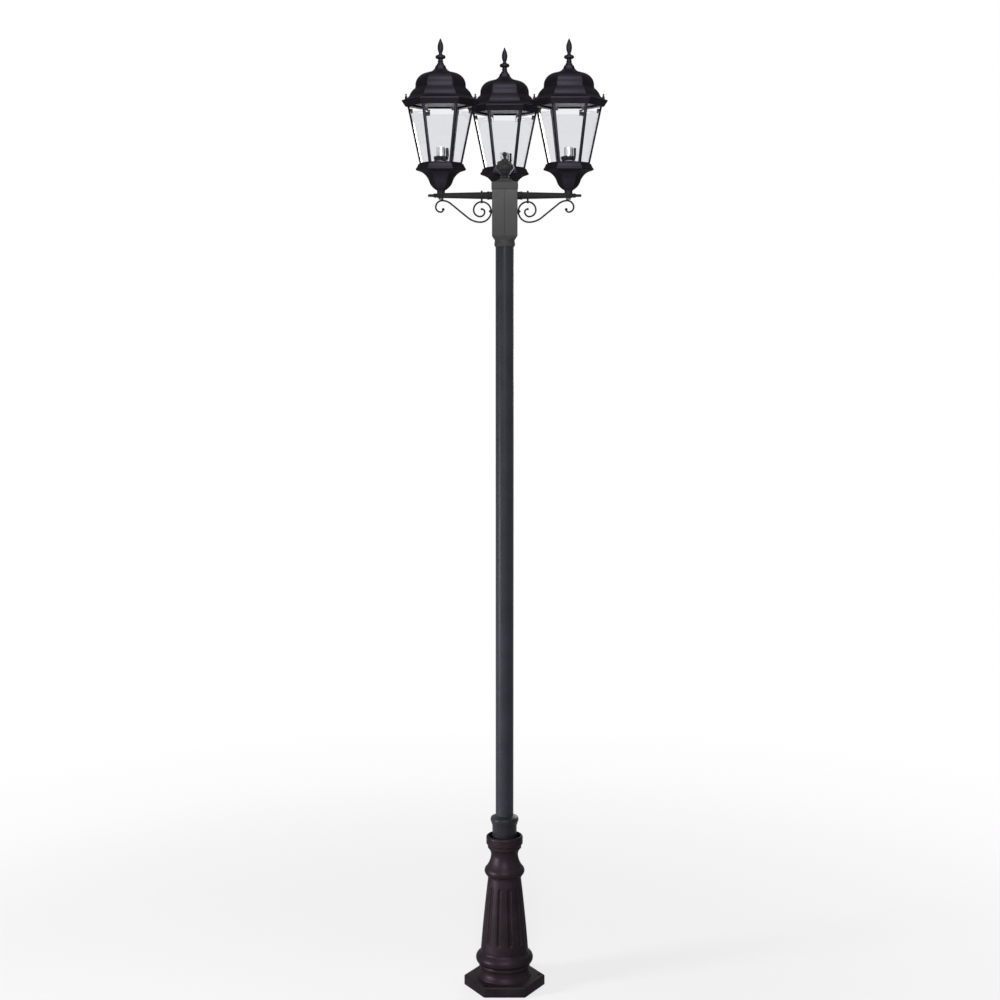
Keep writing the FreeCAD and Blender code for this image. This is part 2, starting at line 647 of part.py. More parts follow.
def bowl():
    """Ogee bowl with its rim, hollow from the top."""
    body = six_sided(outline(
        (0, 0), flat(13, 0), flat(13, 2.5),
        (flat(28, 14), flat(BOWL_WAIST, 30)),
        (flat(44.5, 44.5), flat(60, 58)),
        flat(RIM_CORNER - 2, 63.5), flat(RIM_CORNER, 66), flat(RIM_CORNER, 68.5),
        flat(RIM_CORNER - 2.5, 70.5), flat(RIM_LEDGE + 1, RIM_TOP - 3.5), flat(RIM_LEDGE, RIM_TOP),
        (0, RIM_TOP)))
    hollow = turned(outline(
        (0, BOWL_FLOOR), (11, BOWL_FLOOR), (BOWL_WAIST * COS30 - BOWL_WALL, 31),
        (BOWL_WAIST * COS30 - BOWL_WALL + 2, 38), (RIM_OPENING - 4, 60), (RIM_OPENING, 70),
        (RIM_OPENING, RIM_TOP + 1), (0, RIM_TOP + 1)))
    return body.cut([hollow, disc(NIPPLE_RADIUS + LOOSE, BOWL_FLOOR + 2, V(0, 0, -1))])


def nipple():
    """Hollow threaded tube that holds the bowl down on the arm."""
    foot = V(0, 0, -SEAT_RISE - ARM_END - 0.9 - NUT_HEIGHT)
    length = BOWL_FLOOR + NUT_HEIGHT + 2 - foot.z
    return disc(NIPPLE_RADIUS, length, foot).cut(disc(NIPPLE_BORE, length, foot))


def nipple_nuts():
    """One nut in the bowl and one under the arm."""
    below = V(0, 0, -SEAT_RISE - ARM_END - 0.9 - NUT_HEIGHT)
    return Part.makeCompound([
        hex_nut(NUT_FLATS, NIPPLE_RADIUS + LOOSE, NUT_HEIGHT, V(0, 0, BOWL_FLOOR)),
        hex_nut(NUT_FLATS, NIPPLE_RADIUS + LOOSE, NUT_HEIGHT, below)])


def cage():
    """Six tapering posts between a sill and a head ring, with two lugs for the roof."""
    def taper(outside):
        return outline((0, RIM_TOP), (outside(RIM_TOP), RIM_TOP), (outside(CAGE_TOP), CAGE_TOP),
                       (0, CAGE_TOP))
    body = six_sided(taper(lambda z: cage_corner(z) * COS30)).cut(six_sided(taper(cage_inside)))
    low = RIM_TOP + CAGE_SILL
    high = CAGE_TOP - CAGE_HEAD_RING
    wide_low = cage_corner(low) / 2 - POST_FACE
    wide_high = cage_corner(high) / 2 - POST_FACE
    corners = [V(-wide_low, 0, low), V(wide_low, 0, low), V(wide_high, 0, high),
               V(-wide_high, 0, high), V(-wide_low, 0, low)]
    opening = Part.Face(Part.makePolygon(corners)).extrude(V(0, -2 * CAGE_FOOT, 0))
    body = body.cut([spun(opening, 60 * k) for k in range(6)])
    return body.multiFuse([spun(roof_lug(), 180 * k) for k in range(2)])


def roof_lug():
    """Ear on the head ring that takes a roof screw."""
    inner = cage_inside(CAGE_TOP) / COS30 - 2
    post = block((inner, -LUG_WIDTH / 2, CAGE_TOP - CAGE_HEAD_RING),
                 (cage_corner(CAGE_TOP - CAGE_HEAD_RING) - 1.5, LUG_WIDTH / 2, LUG_TOP))
    ear = block((inner, -LUG_WIDTH / 2, LUG_TOP - LUG_THICK),
                (ROOF_SCREW_REACH, LUG_WIDTH / 2, LUG_TOP))
    end = disc(LUG_RADIUS, LUG_THICK, V(ROOF_SCREW_REACH, 0, LUG_TOP - LUG_THICK))
    hole = disc(ROOF_SCREW + SLIP, LUG_THICK + 2, V(ROOF_SCREW_REACH, 0, LUG_TOP - LUG_THICK - 1))
    return post.multiFuse([ear, end]).cut(hole)


def tilted_plate(low, high, low_half, high_half, depth, thick):
    """Trapezoid against the cage's inner face on the front side, thickness inwards."""
    lean = math.tan(CAGE_TILT)
    near = cage_inside(0.0, depth)
    corners = [V(-low_half, -near - lean * low, low), V(low_half, -near - lean * low, low),
               V(high_half, -near - lean * high, high), V(-high_half, -near - lean * high, high)]
    inwards = V(0, math.cos(CAGE_TILT), math.sin(CAGE_TILT)) * thick
    return Part.Face(Part.makePolygon(corners + corners[:1])).extrude(inwards)


def pane():
    """One tapering pane with a bevelled border, standing on the rim behind the front opening."""
    low_half = cage_inside(RIM_TOP, PANE_THICK) / math.sqrt(3) - PANE_GAP
    high_half = cage_inside(PANE_TOP, PANE_THICK) / math.sqrt(3) - PANE_GAP
    # the foot is raised so that the leaning inner edge still clears the rim
    glass = tilted_plate(RIM_TOP, PANE_TOP, low_half, high_half, 0.0, PANE_THICK)
    inner = [edge for edge in glass.Edges
             if all(abs(v.Y + cage_inside(v.Z - PANE_THICK * math.sin(CAGE_TILT))
                        - PANE_THICK * math.cos(CAGE_TILT)) < 0.05 for v in edge.Vertexes)]
    return glass.makeChamfer(PANE_BEVEL, inner)


def pane_clips():
    """Two small angle clips over the top corners of the front pane."""
    depth = PANE_THICK + CLIP_LIP_THICK
    outer = cage_inside(PANE_TOP, depth) / math.sqrt(3) - PANE_GAP
    inner = outer - CLIP_LENGTH
    middle = (outer + inner) / 2
    half = CLIP_LENGTH / 2
    top = tilted_plate(PANE_TOP + PANE_GAP, PANE_TOP + CLIP_RISE, half, half, 0.0, depth)
    lip = tilted_plate(PANE_TOP - CLIP_LIP, PANE_TOP + CLIP_RISE, half, half, PANE_THICK,
                       CLIP_LIP_THICK)
    clip = top.fuse(lip).removeSplitter()
    return [moved(clip, V(middle, 0, 0)), moved(clip, V(-middle, 0, 0))]


def lantern_panes():
    """The six panes."""
    return Part.makeCompound([spun(pane(), 60 * k) for k in range(6)])


def lantern_clips():
    """Clips of all six panes."""
    pair = pane_clips()
    return Part.makeCompound([spun(clip, 60 * k) for k in range(6) for clip in pair])


def roof_outline(wall):
    """Half outline of the roof, or of its inside when a wall is given."""
    eave_top = EAVE_HEIGHT + 3 - wall
    tier = EAVE_HEIGHT + 16.5 - wall
    tier_top = tier + 18.5
    dome = tier_top + 9
    crown = dome + 44
    side = wall / COS30
    return outline(
        (0, FASCIA_BOTTOM), flat(FASCIA_CORNER - side, FASCIA_BOTTOM),
        flat(EAVE_CORNER - side - 1, EAVE_HEIGHT - 1 - wall / 2),
        flat(EAVE_CORNER - side, EAVE_HEIGHT - wall / 2), flat(EAVE_CORNER - side, eave_top),
        flat(EAVE_CORNER - side - 1.5, eave_top + 1.5),
        (flat(TIER_CORNER - side + 7, tier - 6.3), flat(TIER_CORNER - side, tier)),
        (flat(TIER_CORNER - side - 4.9, tier + 10), flat(TIER_CORNER - side - 12, tier_top)),
        flat(TIER_CORNER - side - 13.5, tier_top + 2), flat(DOME_CORNER - side + 1.4, dome - 4.5),
        flat(DOME_CORNER - side, dome), flat(DOME_CORNER - side, dome + 6),
        (flat(DOME_CORNER - side - 10.4, dome + 30), flat(38 - side, crown)),
        (flat(23.5 - side / 2, crown + 5.5), flat(ROOF_CROWN + 1.5 - side / 2, ROOF_TOP - wall)),
        (0, ROOF_TOP - wall))


def roof():
    """Six-sided domed roof casting with its finial boss and two screw bosses."""
    shell = six_sided(roof_outline(0.0)).cut(six_sided(roof_outline(ROOF_WALL)))
    boss = disc(FINIAL_STUB + 4, ROOF_BOSS, V(0, 0, ROOF_TOP - ROOF_BOSS))
    foot = LUG_TOP + REST
    screw_boss = disc(ROOF_SCREW_BOSS, EAVE_HEIGHT + SCREW_PAD_RISE - foot,
                      V(ROOF_SCREW_REACH, 0, foot))
    cuts = [disc(FINIAL_STUB + SLIP, ROOF_BOSS + 2, V(0, 0, ROOF_TOP - ROOF_BOSS - 1))]
    for k in range(2):
        cuts.append(spun(disc(ROOF_SCREW + LOOSE, 30, V(ROOF_SCREW_REACH, 0, foot - 1)), 180 * k))
    bosses = [boss, screw_boss, spun(screw_boss, 180)]
    return shell.multiFuse(bosses).cut(cuts).removeSplitter()


def roof_screws():
    """Two knobbed screws that hold the roof to the cage's lugs."""
    seat = EAVE_HEIGHT + SCREW_PAD_RISE
    neck = seat + 4
    screw = turned(outline(
        (0, LUG_TOP - LUG_THICK), (ROOF_SCREW, LUG_TOP - LUG_THICK), (ROOF_SCREW, seat),
        (ROOF_SCREW_KNOB, seat), (ROOF_SCREW_KNOB, seat + 1), (ROOF_SCREW_KNOB - 0.8, seat + 2),
        (ROOF_SCREW_KNOB - 0.8, neck), domed(ROOF_SCREW_KNOB - 0.8, neck, 4.7)))
    screw = moved(screw, V(ROOF_SCREW_REACH, 0, 0))
    return Part.makeCompound([screw, spun(screw, 180)])


def lantern_finial():
    """Turned spear finial with a stub in the roof's boss."""
    foot = ROOF_TOP + REST
    disc_height = ROOF_TOP + 25.5
    bud = ROOF_TOP + 36
    return turned(outline(
        (0, foot - ROOF_BOSS + 1), (FINIAL_STUB, foot - ROOF_BOSS + 1), (FINIAL_STUB, foot),
        (11.5, foot), ((10.8, foot + 4), (8, foot + 7)), (7.6, foot + 9),
        ((8.8, foot + 11), (7.6, foot + 13)), (7.4, disc_height - 7), (9.5, disc_height - 5.5),
        (FINIAL_DISC - 0.8, disc_height - 1.2), (FINIAL_DISC, disc_height),
        (FINIAL_DISC - 0.8, disc_height + 1.2), (8, disc_height + 5), (4.8, bud),
        ((FINIAL_SPEAR, bud + 19), (4.5, bud + 36)), (1.2, FINIAL_TIP), (0, FINIAL_TIP)))


def holder_strap():
    """Strap across the bowl's rim that carries the lampholder."""
    strap = block((-STRAP_HALF, -STRAP_WIDTH / 2, RIM_TOP),
                  (STRAP_HALF, STRAP_WIDTH / 2, RIM_TOP + STRAP_THICK))
    return strap.cut(disc(NIPPLE_RADIUS, STRAP_THICK, V(0, 0, RIM_TOP)))


def holder_body():
    """Moulded lampholder body with a terminal housing beside the lamp shell."""
    foot = RIM_TOP + STRAP_THICK
    top = foot + HOLDER_HEIGHT
    body = turned(outline(
        (0, foot), (HOLDER_RADIUS, foot), (HOLDER_RADIUS, foot + 8), (HOLDER_RADIUS - 1.5, foot + 9),
        (HOLDER_RADIUS - 1.5, foot + 12), (HOLDER_RADIUS, foot + 13), (HOLDER_RADIUS, top - 1.5),
        (HOLDER_RADIUS - 1.5, top), (0, top)))
    shell_side = SHELL_BORE + SHELL_WALL + 1.5
    housing = block((shell_side, -9, top), (shell_side + 7, 9, top + HOUSING_HEIGHT))
    return body.fuse(housing.common(disc(HOLDER_RADIUS + 1.5, HOUSING_HEIGHT, V(0, 0, top))))


def lamp_shell():
    """Screw shell that takes the lamp, with its centre contact."""
    foot = RIM_TOP + STRAP_THICK + HOLDER_HEIGHT
    outer = disc(SHELL_BORE + SHELL_WALL, SHELL_HEIGHT, V(0, 0, foot))
    return outer.cut(disc(SHELL_BORE, SHELL_HEIGHT, V(0, 0, foot + 1.5)))


# ---- build ------------------------------------------------------------------
def main():
    os.makedirs("parts", exist_ok=True)
    save("base_casting", base_casting())
    save("pole_sleeve", pole_sleeve())
    save("sleeve_screws", sleeve_screws())
    save("pole_tube", pole_tube())
    save("hub_body", hub_body())
    save("hub_cap", hub_cap())
    save("cap_stud", cap_stud())
    save("hub_finial", hub_finial())
    save("terminal_block", terminal_block())

    arm_pieces = {"arm": arm(), "scroll": scroll(), "scroll_bolt": scroll_bolt(),
                  "arm_clip": arm_clip()}
    lantern_pieces = {
        "bowl": bowl(), "nipple": nipple(), "nipple_nuts": nipple_nuts(), "cage": cage(),
        "panes": lantern_panes(), "pane_clips": lantern_clips(), "roof": roof(),
        "roof_screws": roof_screws(), "finial": lantern_finial(), "holder_strap": holder_strap(),
        "holder_body": holder_body(), "lamp_shell": lamp_shell()}
    for side, angle in ARM_ANGLES.items():
        for piece, shape in arm_pieces.items():
            save(side + "_" + piece, moved(spun(shape, angle), V(0, 0, ARM_HEIGHT)))
        for piece, shape in lantern_pieces.items():
            save(side + "_" + piece, moved(shape, LANTERN_PLACES[side]))


main()
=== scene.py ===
"""Triple head lamp post: the visible pieces of the post, built round its fixed frame.

Lengths in the outlines are millimetres, as on a maker's drawing; finished meshes are in metres.
The post's axis is Z, its front looks along -Y, and every piece lies where the frame has it.
"""
import math

import bmesh
import bpy
from bpy.props import FloatProperty, FloatVectorProperty, IntProperty, PointerProperty
from mathutils import Matrix, Vector


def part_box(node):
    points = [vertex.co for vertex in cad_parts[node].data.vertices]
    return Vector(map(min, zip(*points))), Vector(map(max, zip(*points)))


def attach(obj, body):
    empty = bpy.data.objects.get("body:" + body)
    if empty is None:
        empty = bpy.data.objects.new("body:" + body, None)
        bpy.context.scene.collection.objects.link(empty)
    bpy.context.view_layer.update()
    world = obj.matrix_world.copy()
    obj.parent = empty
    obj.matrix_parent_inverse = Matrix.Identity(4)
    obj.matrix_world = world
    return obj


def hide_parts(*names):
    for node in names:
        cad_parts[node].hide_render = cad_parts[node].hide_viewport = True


bl_info = {
    "name": "Triple Head Lamp Post",
    "version": (1, 0, 0),
    "blender": (4, 5, 0),
    "location": "View3D > Sidebar > Lamp Post",
    "description": "Builds a street lamp post with three glazed lanterns round its frame",
    "category": "Add Mesh",
}

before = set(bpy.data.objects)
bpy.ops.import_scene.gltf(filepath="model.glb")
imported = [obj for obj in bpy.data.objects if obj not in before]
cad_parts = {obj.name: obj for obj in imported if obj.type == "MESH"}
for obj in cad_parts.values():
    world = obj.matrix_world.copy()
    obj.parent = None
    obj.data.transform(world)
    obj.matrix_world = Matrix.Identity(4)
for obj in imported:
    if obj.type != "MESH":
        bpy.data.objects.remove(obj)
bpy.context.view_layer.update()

MM = 0.001
UP = Vector((0, 0, 1))
COS30 = math.cos(math.radians(30))
TURN = 2 * math.pi
SIDES = {"left": 180, "right": 0, "rear": 90}      # direction of each arm, degrees


def centre(node):
    """Middle of a frame node's box."""
    low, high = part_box(node)
    return (low + high) / 2


def seat(side):
    """Where a lantern stands on its arm."""
    middle = centre(side + "_bowl")
    return Vector((middle.x, middle.y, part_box(side + "_bowl")[0].z))


ARM_HEIGHT = centre("left_arm").z / MM
REACH = abs(centre("right_bowl").x) / MM
HUB_HALF = 39.3
COLUMN_ENDS = (122.0, 362.0)
FLUTE_ENDS = (155.0, 329.0)
GRIP_HEIGHT = 518.0                                 # of the sleeve's two grip screws
GRIP_ANGLES = (60, 120)
SCROLL_DROP = 48.0                                  # of the scroll's bolt below the arm
ROOF_SCREW_REACH = 106.0                            # from the lantern's axis
ROOF_FOOT = 256.0
PANE_ENDS = (83.0, 241.0)


# ---- outlines ---------------------------------------------------------------
def arc(start, through, end, count):
    """Points after the start on the circle through three points."""
    (ax, ay), (bx, by), (cx, cy) = start, through, end
    d = 2 * (ax * (by - cy) + bx * (cy - ay) + cx * (ay - by))
    if abs(d) < 1e-9:
        return [end]
    a2, b2, c2 = ax * ax + ay * ay, bx * bx + by * by, cx * cx + cy * cy
    ox = (a2 * (by - cy) + b2 * (cy - ay) + c2 * (ay - by)) / d
    oy = (a2 * (cx - bx) + b2 * (ax - cx) + c2 * (bx - ax)) / d
    first, middle, last = (math.atan2(y - oy, x - ox) for x, y in (start, through, end))
    sweep, half = (last - first) % TURN, (middle - first) % TURN
    if half > sweep:
        sweep -= TURN
    radius = math.hypot(ax - ox, ay - oy)
    turns = [first + sweep * k / count for k in range(1, count + 1)]
    return [(ox + radius * math.cos(t), oy + radius * math.sin(t)) for t in turns[:-1]] + [end]


def eased(points, ease, closed):
    """The same outline with its corners rounded by up to an amount."""
    out = []
    last = len(points) - 1
    for i, here in enumerate(points):
        if not closed and i in (0, last):
            out.append(here)
            continue
        h = Vector(here)
        back, on = Vector(points[i - 1]) - h, Vector(points[(i + 1) % len(points)]) - h
        if back.length < 1e-6:
            continue
        if on.length < 1e-6 or (-back).angle(on) < math.radians(14) or ease <= 0:
            out.append(here)
            continue
        p = h + back.normalized() * min(ease, 0.45 * back.length)
        q = h + on.normalized() * min(ease, 0.45 * on.length)
        out += [tuple(p), tuple((p + q + 2 * h) / 4), tuple(q)]
    return out


def outline(start, *steps, ease=0.8, count=10):
    """Outline in (radius, height). A step is a point, or (through, end) for an arc."""
    points = [start]
    for step in steps:
        if isinstance(step[0], tuple):
            points += arc(points[-1], step[0], step[1], count)
        else:
            points.append(step)
    return eased(points, ease, points[0][0] > 1e-6 and points[-1][0] > 1e-6)


def flat(corner, height):
    """Outline point of a six-sided piece, given by its corner radius."""
    return (corner * COS30, height)


def domed(radius, height, rise):
    """Arc step from a rim point to the axis over a spherical cap."""
    ball = (radius ** 2 + rise ** 2) / (2 * rise)
    low = height + rise - ball
    half = math.atan2(radius, height - low) / 2
    return ((ball * math.sin(half), low + ball * math.cos(half)), (0, height + rise))


# ---- rings ------------------------------------------------------------------
def round_ring(count):
    """Ring of a turned piece."""
    turns = [TURN * k / count for k in range(count)]
    return lambda radius, height: [(radius * math.cos(t), radius * math.sin(t)) for t in turns]


def sided_ring(sides, first_corner, ease, bends=4):
    """Ring with flat sides and eased corners; its radius is from the centre to a flat."""
    half = math.pi / sides

    def ring(apothem, height):
        small = min(ease, 0.3 * apothem)
        points = []
        for k in range(sides):
            corner = math.radians(first_corner) + 2 * half * k
            far = (apothem - small) / math.cos(half)
            for j in range(bends):
                t = corner - half + 2 * half * j / (bends - 1)
                points.append((far * math.cos(corner) + small * math.cos(t),
                               far * math.sin(corner) + small * math.sin(t)))
        return points
    return ring


def square_to_round(half, edge, change, nib=5, across=5, bends=14):
    """Ring that is round up to a height and a rounded square above it."""
    def ring(radius, height):
        points = []
        run = half - edge
        for k in range(4):
            base = math.radians(90 * k)
            for j in range(across + bends):
                if j < across:
                    s = 2 * j / across - 1
                    t, x, y = math.radians(nib) * s, half, run * s
                else:
                    s = (j - across) / bends
                    t = math.radians(nib + (90 - 2 * nib) * s)
                    x, y = run + edge * math.cos(s * math.pi / 2), run + edge * math.sin(
                        s * math.pi / 2)
                if height <= change:
                    x, y = radius * math.cos(t), radius * math.sin(t)
                points.append((x * math.cos(base) - y * math.sin(base),
                               x * math.sin(base) + y * math.cos(base)))
        return points
    return ring


def column_radius(height):
    """Radius of the column's slightly swelling side."""
    foot, middle, head = 76.5, 65.8, 52.7
    along = (2 * height - sum(COLUMN_ENDS)) / (COLUMN_ENDS[1] - COLUMN_ENDS[0])
    chord = (foot + head) / 2 - along * (foot - head) / 2
    return chord + (middle - (foot + head) / 2) * (1 - along ** 2)


def fluted_ring(count, radius_of_tool, depth):
    """Ring of the turned base, with round-ended flutes cut into its column."""
    off = radius_of_tool - depth
    half_width = math.sqrt(radius_of_tool ** 2 - off ** 2)
    spots = (-1.12, -1.0, -0.94, -0.85, -0.62, -0.32, 0, 0.32, 0.62, 0.85, 0.94, 1.0, 1.12)
    plain = (0.25, 0.5, 0.75)
    lip = 0.5

    def ring(radius, height):
        low, high = FLUTE_ENDS
        beyond = max(low - height, height - high, 0)
        on_column = COLUMN_ENDS[0] <= height <= COLUMN_ENDS[1]
        pitch = TURN / count
        reach = math.asin(half_width / max(column_radius(min(max(height, low), high)), 50))
        points = []
        for k in range(count):
            middle = -math.pi / 2 + pitch * (k + 0.5)
            turns = [s * reach for s in spots]
            turns += [turns[-1] + (pitch - 2 * turns[-1]) * s for s in plain]
            for t in turns:
                r = radius
                if on_column:
                    room = radius_of_tool ** 2 - (radius * math.sin(t)) ** 2 - beyond ** 2
                    cut = math.copysign(math.sqrt(abs(room)), room) - off
                    if t > reach * 1.2:
                        cut = -radius_of_tool
                    r -= (cut + math.hypot(cut, lip)) / 2
                points.append((r * math.cos(middle + t), r * math.sin(middle + t)))
        return points
    return ring


def threaded_ring(count, pitch, depth):
    """Ring that sinks along a helix, for threads."""
    def ring(radius, height):
        points = []
        for k in range(count):
            t = TURN * k / count
            local = radius - depth * (0.5 + 0.5 * math.cos(TURN * height / pitch - t))
            points.append((local * math.cos(t), local * math.sin(t)))
        return points
    return ring


# ---- meshes -----------------------------------------------------------------
def new_object(name, mesh):
    """Link a mesh as an object at the origin."""
    obj = bpy.data.objects.new(name, mesh)
    bpy.context.scene.collection.objects.link(obj)
    return obj


def written(bm, mesh):
    """Write a bmesh into a mesh and free it."""
    bm.to_mesh(mesh)
    bm.free()
    return mesh


def from_bmesh(name, bm):
    """New object from a bmesh, which is freed."""
    return new_object(name, written(bm, bpy.data.meshes.new(name)))


def skin(name, stations, ring):
    """Closed surface through the rings of an outline: a solid, or a tube where none is a pole."""
    points, rows = [], []
    for radius, height in stations:
        loop = [(0.0, 0.0)] if radius < 1e-6 else ring(radius, height)
        rows.append(range(len(points), len(points) + len(loop)))
        points += [(x * MM, y * MM, height * MM) for x, y in loop]
    if len(rows[0]) > 1 and len(rows[-1]) > 1:
        rows.append(rows[0])
    faces = []
    for low, high in zip(rows, rows[1:]):
        for k in range(max(len(low), len(high))):
            corners = (low[k % len(low)], low[(k + 1) % len(low)],
                       high[(k + 1) % len(high)], high[k % len(high)])
            face = tuple(dict.fromkeys(corners))
            if len(face) > 2:
                faces.append(face)
    mesh = bpy.data.meshes.new(name)
    mesh.from_pydata(points, [], faces)
    return outward(new_object(name, mesh))


def outward(obj, merge=1e-7):
    """Merge doubles and make every face look outwards."""
    bm = bmesh.new()
    bm.from_mesh(obj.data)
    bmesh.ops.remove_doubles(bm, verts=bm.verts, dist=merge)
    bmesh.ops.recalc_face_normals(bm, faces=bm.faces)
    written(bm, obj.data)
    return obj


def lathe(name, stations, sides=64):
    """Turned piece about Z."""
    return skin(name, stations, round_ring(sides))


def rod(name, radius, length, at=(0, 0, 0), along=UP, sides=32, ease=0.3):
    """Plain bar from a place along a direction, millimetres."""
    side = outline((0, 0), (radius, 0), (radius, length), (0, length), ease=ease)
    obj = lathe(name, side, sides)
    turn = UP.rotation_difference(Vector(along)).to_matrix().to_4x4()
    obj.data.transform(Matrix.Translation(Vector(at) * MM) @ turn)
    return obj


def slab(name, low, high, ease=0.0):
    """Box between two corners, millimetres, with eased edges."""
    bm = bmesh.new()
    size = Vector(high) - Vector(low)
    bmesh.ops.create_cube(bm, size=1.0)
    bmesh.ops.scale(bm, vec=size * MM, verts=bm.verts)
    bmesh.ops.translate(bm, vec=(Vector(low) + Vector(high)) / 2 * MM, verts=bm.verts)
    if ease:
        bmesh.ops.bevel(bm, geom=list(bm.edges), offset=ease * MM, segments=2, profile=0.5,
                        affect="EDGES")
    return from_bmesh(name, bm)


def extrude(name, corners, along):
    """Prism from a flat outline of corners, millimetres."""
    bm = bmesh.new()
    low = [bm.verts.new(Vector(c) * MM) for c in corners]
    high = [bm.verts.new((Vector(c) + Vector(along)) * MM) for c in corners]
    bm.faces.new(low)
    bm.faces.new(high)
    for k in range(len(low)):
        bm.faces.new((low[k - 1], low[k], high[k], high[k - 1]))
    bmesh.ops.recalc_face_normals(bm, faces=bm.faces)
    return from_bmesh(name, bm)


def joined(objects):
    """Put the other objects' meshes into the first."""
    bm = bmesh.new()
    for obj in objects:
        bm.from_mesh(obj.data)
    written(bm, objects[0].data)
    for obj in objects[1:]:
        bpy.data.objects.remove(obj)
    return objects[0]


def rows_up(radius, low, high, step):
    """Outline points straight up at a radius, a step apart."""
    count = max(2, round((high - low) / step))
    return [(radius, low + (high - low) * k / count) for k in range(count + 1)]


def evaluated(obj):
    """Plain mesh of what an object's modifiers make of it."""
    shown = obj.evaluated_get(bpy.context.evaluated_depsgraph_get())
    return bpy.data.meshes.new_from_object(shown)


def baked(obj):
    """Replace an object's mesh by what its modifiers make of it."""
    mesh = evaluated(obj)
    obj.modifiers.clear()
    obj.data = mesh
    return obj


def worked(obj, add=(), cut=()):
    """Weld pieces to an object and cut others out of it."""
    tools = [("UNION", tool) for tool in add] + [("DIFFERENCE", tool) for tool in cut]
    for operation, tool in tools:
        step = obj.modifiers.new(operation.lower(), "BOOLEAN")
        step.operation = operation
        step.object = tool
        step.solver = "EXACT"
    baked(obj)
    for _, tool in tools:
        bpy.data.objects.remove(tool)
    return obj


def softened(obj, width, angle=35):
    """Round an object's sharp edges a little, as paint and casting do."""
    step = obj.modifiers.new("eased edges", "BEVEL")
    step.width = width * MM
    step.segments = 2
    step.limit_method = "ANGLE"
    step.angle_limit = math.radians(angle)
    step.use_clamp_overlap = True
    return baked(obj)


def from_frame(name, node, ease):
    """Copy of a frame node with merged faces and eased edges."""
    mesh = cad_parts[node].data.copy()
    mesh.materials.clear()
    obj = new_object(name, mesh)
    bm = bmesh.new()
    bm.from_mesh(mesh)
    bmesh.ops.remove_doubles(bm, verts=bm.verts, dist=1e-5)
    bmesh.ops.dissolve_limit(bm, angle_limit=math.radians(1), verts=bm.verts, edges=bm.edges)
    bmesh.ops.recalc_face_normals(bm, faces=bm.faces)
    written(bm, mesh)
    return softened(obj, ease)


def placed(obj, place):
    """Shift an object's mesh, in metres."""
    obj.data.transform(Matrix.Translation(place))
    return obj


def turned(obj, degrees, axis="Z"):
    """Turn an object's mesh about an axis through the origin."""
    obj.data.transform(Matrix.Rotation(math.radians(degrees), 4, axis))
    return obj


def marked(obj, test):
    """Mark the faces whose centre and normal pass a test, for a second material."""
    marks = obj.data.attributes.new("second", "BOOLEAN", "FACE")
    marks.data.foreach_set("value", [test(face.center / MM, face.normal)
                                     for face in obj.data.polygons])
    return obj


def finish(obj, name, material, body, nodes, smooth=32, second=None):
    """Give a finished piece its name, shading, materials and body, and hide its frame nodes."""
    obj.name = obj.data.name = name
    mesh = obj.data
    mesh.polygons.foreach_set("use_smooth", [True] * len(mesh.polygons))
    mesh.set_sharp_from_angle(angle=math.radians(smooth))
    mesh.materials.clear()
    mesh.materials.append(material)
    marks = mesh.attributes.get("second")
    if marks and second:
        mesh.materials.append(second)
        mesh.polygons.foreach_set("material_index", [int(mark.value) for mark in marks.data])
        mesh.attributes.remove(marks)
    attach(obj, body)
    if nodes:
        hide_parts(*nodes)
    return obj


def for_each_lantern(make, piece, material, body, smooth=32, second=None):
    """Build a lantern's piece once and set a copy of it on each arm."""
    pattern = make()
    for side in SIDES:
        copy = new_object(side, pattern.data.copy())
        placed(copy, seat(side))
        name = side + "_" + piece
        finish(copy, name + ".made", material, body.format(side), [name], smooth,
               second)
    bpy.data.objects.remove(pattern)


# ---- node trees -------------------------------------------------------------
def tree_socket(tree, name, kind, value=None, output=False):
    """Add a named socket to a node tree's interface."""
    item = tree.interface.new_socket(name, in_out="OUTPUT" if output else "INPUT",
                                     socket_type="NodeSocket" + kind)
    if value is not None:
        item.default_value = value
    return item


def new_tree(name, inputs):
    """Geometry tree with a geometry and a material socket and the given inputs."""
    tree = bpy.data.node_groups.new(name, "GeometryNodeTree")
    tree_socket(tree, "Geometry", "Geometry", output=True)
    tree_socket(tree, "Geometry", "Geometry")
    for label, kind, value in inputs:
        tree_socket(tree, label, kind, value)
    tree_socket(tree, "Material", "Material")
    return tree, tree.nodes.new("NodeGroupInput"), tree.nodes.new("NodeGroupOutput")


def close_tree(tree, source, group_in, group_out):
    """End a tree in Realize Instances and Set Material."""
    real = tree.nodes.new("GeometryNodeRealizeInstances")
    paint_it = tree.nodes.new("GeometryNodeSetMaterial")
    tree.links.new(source, real.inputs[0])
    tree.links.new(real.outputs[0], paint_it.inputs["Geometry"])
    tree.links.new(group_in.outputs["Material"], paint_it.inputs["Material"])
    tree.links.new(paint_it.outputs[0], group_out.inputs[0])
    return tree


def maths(tree, operation, *values):
    """Math node whose inputs are numbers or sockets."""
    node = tree.nodes.new("ShaderNodeMath")
    node.operation = operation
    for socket, value in zip(node.inputs, values):
        if isinstance(value, (int, float)):
            socket.default_value = value
        else:
            tree.links.new(value, socket)
    return node.outputs[0]


